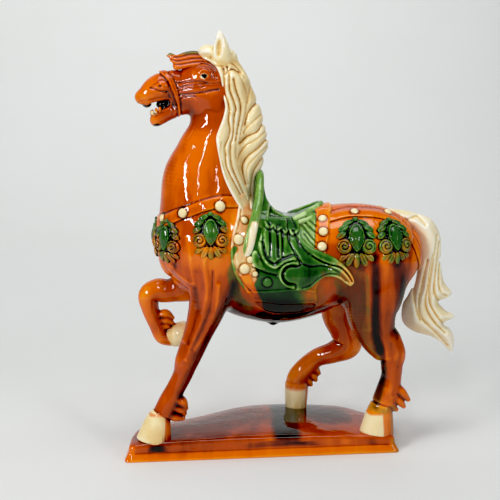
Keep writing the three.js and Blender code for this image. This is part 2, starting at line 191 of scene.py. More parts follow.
def blend(d, p, shape, soft, work=melt):
    # Joins a shape to a distance, only where its box reaches
    margin = soft + 14
    there = ((p > shape["low"] - margin) & (p < shape["high"] + margin)).all(1)
    if there.all():
        return work(d, shape["distance"](p), soft)
    if there.any():
        d = d.copy()
        d[there] = work(d[there], shape["distance"](p[there]), soft)
    return d


def blendAll(d, p, shapes, soft):
    for shape in shapes:
        d = blend(d, p, shape, soft)
    return d


def overPoints(function, points, size=32768):
    parts = [points[i:i + size] for i in range(0, len(points), size)]
    with ThreadPoolExecutor(4) as pool:
        return np.concatenate(list(pool.map(function, parts)))


def skinOf(field, low, high, voxel, slack=3.0):
    # Points and faces of a field's surface; only blocks near the surface are worked out in full
    side = 8
    low = np.asarray(low, np.float32) - 3 * voxel
    blocks = np.ceil((np.asarray(high) + 3 * voxel - low) / (voxel * side)).astype(int)
    index = np.stack(np.meshgrid(*[np.arange(n) for n in blocks], indexing="ij"), -1).reshape(-1, 3)
    rough = overPoints(field, (low + (index + 0.5) * side * voxel).astype(np.float32))
    near = np.abs(rough) < 0.87 * side * voxel + slack
    band = 3 * voxel
    signs = np.where(rough < 0, -band, band).astype(np.float32).reshape(tuple(blocks))
    values = np.repeat(np.repeat(np.repeat(signs, side, 0), side, 1), side, 2)
    cell = np.stack(np.meshgrid(*[np.arange(side)] * 3, indexing="ij"), -1).reshape(-1, 3)
    batch = 64
    spots = index[near]
    groups = [spots[i:i + batch] for i in range(0, len(spots), batch)]

    def fill(group):
        points = low + (group[:, None] * side + cell).reshape(-1, 3).astype(np.float32) * voxel
        found = np.clip(field(points.astype(np.float32)), -band, band).reshape(-1, side, side, side)
        for (i, j, k), block in zip(group * side, found):
            values[i:i + side, j:j + side, k:k + side] = block

    with ThreadPoolExecutor(4) as pool:
        list(pool.map(fill, groups))
    grid = openvdb.FloatGrid(band)
    grid.copyFromArray(values)
    points, triangles, quads = grid.convertToPolygons(0.0, 0.0)
    return points * voxel + low, triangles.astype(np.int64), quads.astype(np.int64)


def meshFrom(name, points, triangles, quads):
    mesh = bpy.data.meshes.new(name)
    loops = np.concatenate([quads.ravel(), triangles.ravel()]).astype(np.int32)
    totals = np.concatenate([np.full(len(quads), 4), np.full(len(triangles), 3)]).astype(np.int32)
    mesh.vertices.add(len(points))
    mesh.vertices.foreach_set("co", (points * mm).astype(np.float32).ravel())
    mesh.loops.add(len(loops))
    mesh.loops.foreach_set("vertex_index", loops)
    mesh.polygons.add(len(totals))
    mesh.polygons.foreach_set("loop_start", (np.cumsum(totals) - totals).astype(np.int32))
    mesh.update(calc_edges=True)
    mesh.validate()
    return mesh


def standing(name, data):
    obj = bpy.data.objects.new(name, data)
    bpy.context.scene.collection.objects.link(obj)
    return obj


def trianglesOf(mesh):
    return sum(len(face.vertices) - 2 for face in mesh.polygons)


def piece(name, field, low, high, voxel, most):
    # A sculpted piece: its mesh, thinned to at most a number of triangles
    points, triangles, quads = skinOf(field, low, high, voxel * detail)
    obj = standing(name, meshFrom(name, points, triangles, quads))
    count = len(triangles) + 2 * len(quads)
    if count > most:
        thin = obj.modifiers.new("thin", "DECIMATE")
        thin.ratio = most / count
        made = bpy.data.meshes.new_from_object(obj.evaluated_get(bpy.context.evaluated_depsgraph_get()))
        obj.modifiers.clear()
        obj.data = made
    obj.data.shade_smooth()
    print(f"{name}: {count} triangles, kept {trianglesOf(obj.data)}")
    return obj


def pointsOf(obj):
    flat = np.empty(len(obj.data.vertices) * 3, np.float32)
    obj.data.vertices.foreach_get("co", flat)
    return flat.reshape(-1, 3) / mm


def paint(obj, name, values):
    layer = obj.data.attributes.new(name, "FLOAT", "POINT")
    layer.data.foreach_set("value", np.asarray(values, np.float32))


def hollows(obj, rounds):
    # How far each point lies below its smoothed surroundings, in millimetres
    mesh = obj.data
    edges = np.empty(len(mesh.edges) * 2, np.int32)
    mesh.edges.foreach_get("vertices", edges)
    a, b = edges.reshape(-1, 2).T
    normals = np.empty(len(mesh.vertices) * 3, np.float32)
    mesh.vertices.foreach_get("normal", normals)
    normals = normals.reshape(-1, 3)
    start = pointsOf(obj)
    count = np.maximum(np.bincount(a, minlength=len(start)) + np.bincount(b, minlength=len(start)), 1)
    moved = start.copy()
    for _ in range(rounds):
        summed = np.stack([np.bincount(a, moved[b, i], len(start)) + np.bincount(b, moved[a, i], len(start))
                           for i in range(3)], 1)
        moved = 0.5 * moved + 0.5 * summed / count[:, None]
    return ((moved - start) * normals).sum(1)


# The horse's stations, in millimetres
trunkStations = {
    "barrel": [(-81, 0, 211, 29, 29), (-66, 0, 207, 43, 44), (-40, 0, 202, 49, 49), (-10, 0, 190.5, 50, 56),
               (14, 0, 182, 51, 54.5), (30, 0, 181.5, 50.5, 53), (46, 0, 184.5, 50, 51.5), (60, 0, 190.5, 49, 50.5),
               (75, 0, 196, 48, 51), (105, 0, 199, 49, 49), (130, 0, 197, 45, 44), (146, 0, 192, 34, 33)],
    "neck": [(-34, 0, 372, 19, 23), (-39, 0, 346, 22, 27), (-42.5, 0, 322, 24.5, 27.7), (-50, 0, 300, 29, 32.5),
             (-55, 0, 278, 34, 40), (-56.5, 0, 254, 40, 42), (-56, 0, 228, 44, 42.5), (-58.5, 0, 205, 42, 38.5),
             (-62, 0, 188, 34, 29.5)],
}
legStations = {
    "nearFore": [(-52, -26, 196, 20, 26), (-51, -31, 168, 19, 22), (-55.5, -33, 148, 16, 18),
                 (-63.5, -34, 126, 14, 14), (-70.5, -34, 109, 12.5, 12.8), (-75.5, -34, 97, 12, 11.8),
                 (-79.5, -34, 84, 10, 9.8), (-86.5, -34, 70, 9.5, 9.4), (-93, -34, 58, 10.5, 10),
                 (-99, -34, 46, 10.5, 10)],
    "farFore": [(-50, 26, 182, 20, 26), (-68, 31, 163, 17, 19), (-88, 33, 155.5, 13, 12.6), (-102, 34, 155, 12, 13),
                (-111, 34, 149.5, 11.5, 11.8), (-110, 34, 135, 10, 9), (-103.5, 34, 118, 9, 8.2),
                (-98, 34, 107, 9.5, 8.6), (-90, 34, 104, 9.5, 8.4)],
    "nearHind": [(112, -24, 190, 25, 42), (112, -30, 162, 22, 32), (110.5, -33, 140, 18, 25.5),
                 (115.5, -34, 121, 14.5, 20), (125, -34, 108, 12.5, 18), (131.5, -34, 98, 11.5, 14.5),
                 (132, -34, 88, 10, 11.3), (131.5, -34, 76, 9.5, 10.5), (129, -34, 63, 10.5, 12),
                 (125, -34, 50, 11, 12.5)],
    "farHind": [(112, 26, 180, 25, 36), (96, 32, 148, 19, 28), (92, 36, 125, 14.5, 20), (97.5, 38, 105, 13, 15.5),
                (100, 38, 91, 12, 16), (86, 39, 82.5, 10.5, 12), (68, 40, 76.5, 10, 10), (54.5, 40, 65.5, 10, 10.5),
                (47.5, 41, 55, 10.5, 11.5), (46.5, 42, 46, 11, 12)],
}
hoofStations = {
    "nearFore": [(-102, -34, 45, 10.5, 9.5), (-105, -34, 35, 11.8, 13.4), (-109, -33.5, 17, 12.4, 17.5)],
    "nearHind": [(122, -34, 46, 11, 11.5), (120, -34, 36, 11.8, 14.2), (117.5, -34, 17, 12, 18)],
    "farHind": [(46.5, 42, 49, 11.6, 12.6), (46, 42, 38, 13, 12.6), (45.5, 42, 22, 12.4, 11.6)],
    "farFore": [(-92, 34, 106, 10, 9.5), (-84, 34, 107, 13, 12.5), (-72, 34, 110, 13, 12.5)],
}
headStations = [(-32, 0, 374, 15, 20), (-46, 0, 368, 20, 25), (-62, 0, 364, 20, 24), (-77, 0, 363, 15, 20),
                (-89, 0, 365.5, 13, 15.5), (-101, 0, 362, 13.5, 14), (-111, 0, 356, 12, 10), (-117, 0, 352, 8, 6)]
jawStations = [(-64, 0, 352, 12, 11), (-78, 0, 345, 10.5, 8), (-90, 0, 339.5, 9, 7.2), (-99, 0, 335, 8.5, 7),
               (-104, 0, 335.5, 7, 5)]

barrel, neck = (limb(trunkStations[name], perSpan=8) for name in ("barrel", "neck"))
legs = {name: limb(rows, perSpan=10) for name, rows in legStations.items()}
hooves = {name: limb(rows, dome=0.25) for name, rows in hoofStations.items()}
skull, jaw = limb(headStations), limb(jawStations)


# How softly the parts run into each other
joinSoft = {"neck": 24, "legs": 11, "hoofCaps": 1.2, "feathers": 2.0}


def farOff(p):
    return np.full(len(p), 60, np.float32)


def trunkSkin(p):
    return blend(blend(farOff(p), p, barrel, 1), p, neck, joinSoft["neck"])


def legsSkin(p, d):
    return blendAll(d, p, legs.values(), joinSoft["legs"])


# Sinews and folds: [side path, how deep (negative stands out), half width]
bodyLines = {
    "near": [([(-52.5, 219.9), (-58.4, 198.6), (-56.6, 176), (-57.7, 161.2), (-61.7, 141.4), (-69.7, 121.6),
               (-76.7, 101.7)], -1.1, 2.6),
             ([(-44.3, 176), (-46.4, 156.8), (-52.3, 140.1), (-60.1, 124.4), (-68, 112.6)], -1.0, 2.4),
             ([(-50, 190), (-51.5, 166), (-55, 148), (-63, 130), (-71, 112)], 0.5, 1.8),
             ([(-29.6, 175.8), (-36.5, 158.1), (-46.3, 139.5), (-58.1, 116.8), (-68.1, 96), (-77.1, 74), (-83.1, 62)],
              0.6, 2.2),
             ([(-72.2, 171.8), (-70.4, 156.9), (-73.5, 137.2), (-78.5, 119.4)], -0.9, 2.0),
             ([(-67, 172), (-65, 156), (-68, 138), (-74, 118)], 0.4, 1.8),
             ([(134, 116), (138, 103), (136, 90), (135, 74), (131.5, 60)], 0.5, 2.0),
             ([(127, 112), (129, 98), (127, 84), (124.5, 68)], 0.35, 1.8),
             ([(112, 128), (121, 112), (124, 98), (121, 84)], -0.6, 2.2),
             ([(-110, 42.5), (-103, 40), (-98.5, 39), (-98, 30), (-98.6, 18)], 0.5, 0.9),
             ([(113, 42.5), (119, 40.5), (125, 38), (126.5, 30), (126, 18)], 0.6, 0.9),
             ([(116, 34), (124, 32), (131, 30)], 0.4, 0.9)],
    "far": [([(100, 118), (103, 104), (98, 95), (84, 89), (68, 81), (55, 71)], 0.5, 2.0),
            ([(-62, 160), (-88, 152), (-101, 150)], 0.5, 2.0),
            ([(-104, 146), (-104, 132), (-99.5, 116)], 0.5, 1.8),
            ([(34, 46), (40, 44), (46, 46), (51, 43), (56, 45)], 0.6, 0.9)],
    "both": [([(46, 147), (58, 150), (70, 151), (79, 147)], -0.8, 5.0),
             ([(-100.8, 203.5), (-95.6, 190.5), (-87, 177.4), (-73.4, 170.2)], 0.7, 1.6),
             ([(-97.5, 208), (-90.8, 194), (-83, 184), (-71.5, 177)], -0.9, 1.8),
             ([(-74.4, 221.9), (-72.6, 210.2), (-70.9, 193.6), (-69, 178)], -0.9, 2.4)],
}
bodyLines = {side: readyForm({"lines": lines})["lines"] for side, lines in bodyLines.items()}


def sinews(p):
    none, across = np.zeros(len(p), np.float32), p[:, 1]
    return (ease(-across, 26, 36) * pressed(none, p, bodyLines["near"])
            + ease(across, 26, 36) * pressed(none, p, bodyLines["far"]) + pressed(none, p, bodyLines["both"]))


def hoofSkin(p):
    return blendAll(farOff(p), p, hooves.values(), 1)


headForms = readyForm({
    "box": ((-130, -40, 322), (-30, 40, 400)),
    "eye": (-55.8, 15.4, 374.9), "eyeRadius": 5.0, "lidRing": 5.9, "lidOut": 2.6, "lidHalf": 1.2,
    "wrinkleStep": 2.5, "wrinkleDepth": 0.45,
    # Cheek, nostril and brow on each side: centre, radii, turn, how softly it joins
    "swellings": [((-51, 9, 354), (16, 9, 14), 0, 8), ((-97, 8.5, 365.5), (7.5, 5.2, 5.2), 20, 4),
                  ((-57, 13, 377), (10, 6, 7.5), 10, 5)],
    "muzzle": ((-112.5, 0, 354.5), (9.5, 9.5, 6), -25), "chin": ((-102, 0, 332), (5.5, 7.5, 5.2)),
    "tongue": ((-92.5, 0, 348), (9, 5, 5)), "lipInside": ((-110.5, 0, 349.5), (4.8, 6.4, 4.6)),
    "nostril": ((-97.6, 14.4, 366), (1.5, 2.0, 1.1), 10), "tooth": (1.6, 1.6, 2.8),
    "teeth": [(-106.2, 2.2, 340), (-105.2, 5.6, 340.6), (-101.5, 6.8, 342.2), (-98, 7.3, 343.6)],
    "mouth": [(-130, 350), (-113, 347.5), (-106, 349.5), (-98, 351.6), (-91.5, 352.4), (-88.4, 350.2), (-91, 346.2),
              (-97, 344), (-104, 340.5), (-112, 336.5), (-130, 330)],
    "noseFront": [(-102, 383), (-97.7, 377.8), (-93.8, 374.3), (-89.9, 369.6), (-87.6, 363.2), (-85.2, 357.7),
                  (-82.9, 350.6), (-81, 342.6), (-80.5, 334)],
    "noseRear": [(-93, 385), (-89, 378.2), (-85.1, 374.3), (-82.7, 368.8), (-80.4, 361.7), (-78.9, 356.1),
                 (-77.8, 349.8), (-77, 338)],
    # Creases of the cheek straps, nose, lips and jaw
    "lines": [([(-82, 368.8), (-72.5, 369.9), (-61.3, 370.7), (-52, 369)], 0.9, 0.8),
              ([(-80.5, 364), (-72.5, 366), (-64.5, 367.2), (-56.5, 368), (-48.5, 368.6), (-38.9, 369)], 0.8, 0.7),
              ([(-79.7, 361.7), (-68.5, 364), (-59.7, 365.4), (-48.5, 366.2), (-38.9, 366.6)], 0.6, 0.7),
              ([(-79, 357.3), (-68.6, 358.5), (-56.6, 360.1), (-48.6, 361.7), (-42.1, 362.5)], 1.3, 1.0),
              ([(-77.4, 354.2), (-71, 355.8), (-64, 356.1)], 1.1, 0.8),
              ([(-106.5, 364), (-101, 362.4), (-96, 361), (-90.5, 360.4)], 1.3, 0.9),
              ([(-106.5, 364), (-101, 368.6), (-97, 371), (-92, 370), (-89, 365.5)], 0.6, 1.0),
              ([(-118, 351.5), (-111, 351.8), (-104, 353.2), (-97, 354.6), (-92, 354.8)], 0.7, 0.9),
              ([(-89.5, 358), (-86.5, 352), (-85, 345), (-86.5, 338)], 0.5, 1.0),
              ([(-52, 344), (-44, 341), (-38, 345), (-36, 352)], 0.25, 2.4)],
})
noseBand = sideOutline(headForms["noseFront"] + headForms["noseRear"][::-1], 1)
noseFront = curveThrough(headForms["noseFront"], 3)
mouthGap = sideOutline(headForms["mouth"])


def onSide(spot, side):
    return spot[0], side * spot[1], spot[2]


def headSkin(p, d):
    form = headForms
    d = blend(d, p, skull, 9)
    for side in (-1, 1):
        for centre, radii, turn, soft in form["swellings"]:
            d = blend(d, p, egg(onSide(centre, side), radii, turn), soft)
    d = blendAll(d, p, (egg(*form["muzzle"]), jaw), 4)
    d = blend(d, p, egg(*form["chin"]), 3)
    head = ((p > form["box"][0]) & (p < form["box"][1])).all(1)
    if not head.any():
        return d
    q, e = p[head], d[head]
    gap = mouthGap(q)
    e = e - 0.9 * bell((gap - 1.8) / 1.2) * ease(q[:, 0], -106, -98)
    e = carve(e, gap, 1.2)
    e = blend(e, q, egg(*form["tongue"]), 1.5)
    e = blend(e, q, egg(*form["lipInside"]), 1.2)
    for spot in form["teeth"]:
        e = blendAll(e, q, [egg(onSide(spot, side), form["tooth"]) for side in (-1, 1)], 0.6)
    for side in (-1, 1):
        centre, radii, turn = form["nostril"]
        e = blend(e, q, egg(onSide(centre, side), radii, turn), 1.0, carve)
        x, y, z = onSide(form["eye"], side)
        ball = np.sqrt(((q - np.float32((x, y, z))) ** 2).sum(1)) - form["eyeRadius"]
        ring = np.hypot(q[:, 0] - x, q[:, 2] - z)
        lidAway = q[:, 1] - y - side * form["lidOut"]
        lid = np.sqrt((ring - form["lidRing"]) ** 2 + lidAway ** 2) - form["lidHalf"]
        own = q[:, 1] * side > 0
        e = np.where(own, melt(melt(e, lid, 1.2), ball, 0.3), e)
        turn = np.degrees(np.arctan2(q[:, 2] - z, q[:, 0] - x))
        fan = ease(turn, -30, 0) * (1 - ease(turn, 120, 150)) * ease(ring, 6.4, 7.4) * (1 - ease(ring, 13, 15))
        e = e + own * fan * form["wrinkleDepth"] * np.cos(2 * np.pi * ring / form["wrinkleStep"])
    e = e + ease(np.abs(q[:, 1]), 2, 6) * pressed(np.zeros(len(q), np.float32), q, form["lines"])
    band = noseBand(q)
    e = e - 1.2 * (1 - ease(band, -1.4, 0.2)) + 0.7 * bell(band / 0.8)
    e = e - 0.7 * bell((lineDistance(q, noseFront) - 1.9) / 0.8) * (band < 0)
    d = d.copy()
    d[head] = e
    return d


harnessLines = {
    "breast": ([(-14, 254), (-28, 255), (-43, 255.5), (-59, 252), (-71, 247.5), (-83, 243), (-95, 236.5),
                (-112, 229)], 5.6),
    "rump": ([(60, 236), (70, 238.4), (85, 241.6), (99, 241.8), (115, 240.6), (129, 236.5), (141, 229), (152, 215.5),
              (160, 196), (166, 176)], 3.7),
}
harnessWork = {"rise": 1.5, "groove": 0.6, "grooveHalf": 0.9, "lowest": 180, "highest": 275}
harnessPaths = [(curveThrough(line, 4), half) for line, half in harnessLines.values()]


def strapDistance(p):
    best = np.full(len(p), 1e3, np.float32)
    for path, half in harnessPaths:
        best = np.minimum(best, lineDistance(p, path) - half)
    return best


def bodySkin(p):
    d = legsSkin(p, trunkSkin(p)) + sinews(p)
    d = headSkin(p, d)
    d = melt(d, hoofSkin(p), joinSoft["hoofCaps"])
    there = (p[:, 2] > harnessWork["lowest"]) & (p[:, 2] < harnessWork["highest"])
    if there.any():
        d = d.copy()
        strap = strapDistance(p[there])
        d[there] = (d[there] - harnessWork["rise"] * (1 - ease(strap, -1.2, 0.4))
                    + harnessWork["groove"] * bell(strap / harnessWork["grooveHalf"]))
    return d


plinthForm = {
    "halfLength": 139, "front": -51, "cornerSoft": 6, "edgeSoft": 3.0,
    # Height of the top, less toward the edge and the ends, and inset of the wall by height
    "top": 24.6, "edgeDrop": 4.6, "dropReach": 16, "endDrop": 0.24, "inset": ((0, 8, 18, 21), (0, 4, 5.2, 8)),
    # The back, seen from above
    "back": [(139, -46), (137, -10), (131, 22), (113, 44), (97, 56), (80, 60.5), (52, 65), (24, 66.5), (0, 65),
             (-21, 58.5), (-42, 47), (-64, 34), (-90, 24), (-114, 17), (-129, 5), (-136, -18), (-139, -46)],
}
plinthBack = np.array(curveThrough(plinthForm["back"], 6), np.float32) - (0, plinthForm["back"][0][1])
plinthTurns = np.arctan2(plinthBack[:, 1], plinthBack[:, 0])
plinthReach = np.hypot(plinthBack[:, 0], plinthBack[:, 1])
plinthLean = np.hypot(1, np.gradient(plinthReach, plinthTurns) / plinthReach)


def plinthSkin(p):
    x, y, z = p.T
    v = y - plinthForm["back"][0][1]
    turn = np.arctan2(v, x)
    turn = np.where(turn < -1.6, np.pi, np.maximum(turn, 0))
    reach, lean = np.interp(turn, plinthTurns, plinthReach), np.interp(turn, plinthTurns, plinthLean)
    wall = meet((np.hypot(x, v) - reach) / lean, plinthForm["front"] - y, plinthForm["cornerSoft"])
    wall = wall + np.interp(z, *plinthForm["inset"])
    top = plinthForm["top"] - plinthForm["edgeDrop"] * np.exp(wall / plinthForm["dropReach"])
    top = top * (1 - plinthForm["endDrop"] * (x / plinthForm["halfLength"]) ** 2)
    return meet(meet(wall, z - top, plinthForm["edgeSoft"]), -z, 0.8)


# Finishes
def tone(*levels):
    # A colour as seen on a screen, 0 to 255, as the shader counts it
    shares = (level / 255 for level in levels)
    return tuple(c / 12.92 if c <= 0.04045 else ((c + 0.055) / 1.055) ** 2.4 for c in shares) + (1,)


class Finish:
    # A glaze with its nodes; every pattern reads Object coordinates or a painted attribute
    def __init__(self, name, roughness=0.16, coat=1.0):
        self.material = bpy.data.materials.new(name)
        self.material.use_nodes = True
        self.nodes, self.links = self.material.node_tree.nodes, self.material.node_tree.links
        self.shader = self.nodes["Principled BSDF"]
        self.shader.inputs["Roughness"].default_value = roughness
        self.shader.inputs["Specular IOR Level"].default_value = 0.0 if coat else 0.3
        self.shader.inputs["Coat Weight"].default_value = coat
        self.shader.inputs["Coat Roughness"].default_value = 0.03
        self.shader.inputs["IOR"].default_value = 1.5
        self.place = self.nodes.new("ShaderNodeTexCoord").outputs["Object"]

    def add(self, kind, **values):
        node = self.nodes.new(kind)
        for key, value in values.items():
            if hasattr(node, key):
                setattr(node, key, value)
            else:
                self.feed(node.inputs[key], value)
        return node

    def feed(self, socket, value):
        if isinstance(value, bpy.types.NodeSocket):
            self.links.new(value, socket)
        else:
            socket.default_value = value

    def noise(self, size, stretch=(1, 1, 1), depth=3, rough=0.5):
        # Noise about so many metres across, stretched along the axes
        mapped = self.add("ShaderNodeMapping", Vector=self.place)
        mapped.inputs["Scale"].default_value = tuple(1 / (size * s) for s in stretch)
        return self.add("ShaderNodeTexNoise", Vector=mapped.outputs["Vector"], Scale=1.0, Detail=depth,
                        Roughness=rough).outputs["Fac"]

    def painted(self, name):
        return self.add("ShaderNodeAttribute", attribute_name=name).outputs["Fac"]

    def math(self, operation, a, b):
        node = self.nodes.new("ShaderNodeMath")
        node.operation = operation
        self.feed(node.inputs[0], a)
        self.feed(node.inputs[1], b)
        return node.outputs[0]

    def span(self, value, low, high):
        node = self.nodes.new("ShaderNodeMapRange")
        node.interpolation_type = "SMOOTHSTEP"
        for socket, v in zip(node.inputs, (value, low, high)):
            self.feed(socket, v)
        return node.outputs[0]

    def ramp(self, value, stops):
        node = self.nodes.new("ShaderNodeValToRGB")
        ramp = node.color_ramp
        ramp.interpolation = "EASE"
        while len(ramp.elements) < len(stops):
            ramp.elements.new(1.0)
        for element, (place, colour) in zip(ramp.elements, stops):
            element.position, element.color = place, colour
        self.feed(node.inputs[0], value)
        return node.outputs[0]

    def mix(self, share, a, b):
        node = self.nodes.new("ShaderNodeMix")
        node.data_type = "RGBA"
        self.feed(node.inputs[0], share)
        self.feed(node.inputs[6], a)
        self.feed(node.inputs[7], b)
        return node.outputs[2]

    def bump(self, height, strength, distance):
        return self.add("ShaderNodeBump", Height=height, Strength=strength, Distance=distance).outputs["Normal"]

    def done(self, colour, normal=None):
        self.feed(self.shader.inputs["Base Color"], colour)
        if normal is not None:
            self.feed(self.shader.inputs["Normal"], normal)
            self.feed(self.shader.inputs["Coat Normal"], normal)
        return self.material


def horseGlaze():
    # Three colours that pool: "hollow" darkens, "green", "cream" and "dark" choose the colour, "shade" deepens it
    f = Finish("threeColourGlaze")
    patches = f.noise(0.07, (1, 1, 1.6), 3)
    streaks = f.noise(0.012, (1, 1, 5), 3, 0.6)
    wander = f.math("ADD", f.math("MULTIPLY", f.math("SUBTRACT", f.noise(0.02, (1, 1, 2.5), 3, 0.6), 0.5), 0.55),
                    f.math("MULTIPLY", f.math("SUBTRACT", f.noise(0.006, (1, 1, 1.6), 2, 0.5), 0.5), 0.45))

    def share(name):
        return f.span(f.math("ADD", f.painted(name), f.math("MULTIPLY", wander, f.painted("stir"))), 0.2, 0.8)

    depth = f.math("ADD", f.math("MULTIPLY", f.painted("hollow"), 0.42), 0.5)
    depth = f.math("ADD", depth, f.math("MULTIPLY", f.math("SUBTRACT", patches, 0.5), -0.5))
    depth = f.math("ADD", depth, f.math("MULTIPLY", f.math("SUBTRACT", streaks, 0.5),
                                        f.math("MULTIPLY", f.painted("stir"), -0.5)))
    depth = f.math("ADD", depth, f.painted("shade"))
    amber = f.ramp(depth, [(0.0, tone(252, 178, 66)), (0.2, tone(240, 142, 26)), (0.42, tone(222, 106, 8)),
                           (0.58, tone(182, 68, 6)), (0.76, tone(116, 34, 5)), (0.9, tone(46, 12, 4)),
                           (1.0, tone(14, 6, 4))])
    green = f.ramp(depth, [(0.0, tone(178, 206, 138)), (0.16, tone(116, 158, 68)), (0.36, tone(66, 124, 44)),
                           (0.56, tone(42, 88, 34)), (0.76, tone(16, 42, 20)), (0.92, tone(6, 12, 8))])
    cream = f.ramp(depth, [(0.0, tone(254, 246, 224)), (0.3, tone(246, 226, 178)), (0.5, tone(232, 198, 134)),
                           (0.68, tone(204, 152, 78)), (0.84, tone(150, 92, 32)), (1.0, tone(80, 40, 12))])
    colour = f.mix(share("green"), amber, green)
    colour = f.mix(share("cream"), colour, cream)
    colour = f.mix(share("dark"), colour, tone(9, 5, 5))
    waves = f.bump(f.noise(0.022, depth=3, rough=0.55), 0.22, 0.004)
    return f.done(colour, waves)


# Surface details
def score(p, lines, depth, half):
    # Grooves along side paths, with rounded strands between them: how far the surface sinks
    nearest = np.full(len(p), 1e3, np.float32)
    for line in lines:
        nearest = np.minimum(nearest, lineDistance(p, line))
    return depth * (1 - np.sin(np.clip(nearest / half, 0, 1) * np.pi / 2))


def touchSide(field, x, z, side, outside=80.0):
    # Where a sight line across the horse meets a field, with the way the skin faces there
    y = np.linspace(outside, 0, 161, dtype=np.float32)
    d = field(np.stack([np.full(len(y), x), side * y, np.full(len(y), z)], 1).astype(np.float32))
    last = np.argmax(d < 0) - 1
    depth = y[last] + (y[last + 1] - y[last]) * d[last] / (d[last] - d[last + 1])
    point = np.array((x, side * depth, z), np.float32)
    return point, facing(field, point[None])[0]


def facing(field, points, step=1.5):
    ways = []
    for axis in np.eye(3, dtype=np.float32) * step:
        ways.append(field((points + axis).astype(np.float32)) - field((points - axis).astype(np.float32)))
    normals = np.stack(ways, 1)
    return normals / np.linalg.norm(normals, axis=1)[:, None]


# Fetlock feathers: beside each fetlock, lobes that curl from the leg to a tip in rows of (x, z, half width).
# The first value is how far across the fetlock lies. A short drip of glaze under the belly is made the same way.
featherLobes = {
    "nearFore": (-36, [[(-90, 60, 4), (-81, 57, 5.2), (-77, 49, 2.8)],
                       [(-90, 52, 4), (-82, 49, 4.6), (-78, 43.5, 2.4)],
                       [(-97, 44, 3.5), (-88, 41, 4.2), (-79, 39.5, 2.4)]]),
    "nearHind": (-36, [[(131, 68, 3.5), (141, 60, 5), (149.6, 50.5, 2.3)],
                       [(130, 60, 4), (139, 51, 4.8), (145, 43.5, 2.3)],
                       [(126, 52, 4), (132, 45, 4.4), (137.5, 40.5, 2.2)]]),
    "farHind": (40, [[(56, 70, 3.5), (65, 65, 4.8), (70.5, 58.5, 2.4)], [(56, 63, 3.5), (64, 57, 4.4), (67, 51, 2.3)],
                     [(54, 56, 3.5), (59, 51, 4), (62, 46, 2.2)]]),
    "drip": (-8, [[(9, 131.6, 3.2), (13.8, 128.6, 3.2), (18.6, 131.6, 3.2)]]),
    "farFore": (32, [[(-102, 130, 3.5), (-94, 131, 4.6), (-86, 126, 1.6)],
                     [(-102, 124, 3.5), (-93, 124, 4.4), (-85.5, 119, 1.6)],
                     [(-102, 117, 3.5), (-94, 118, 4.2), (-87, 113, 1.5)]]),
}
feathers = [limb([(x, y, z, 1.4 * half, half) for x, z, half in lobe])
            for y, lobes in featherLobes.values() for lobe in lobes]


def furSkin(p, d):
    return blendAll(d, p, feathers, joinSoft["feathers"])


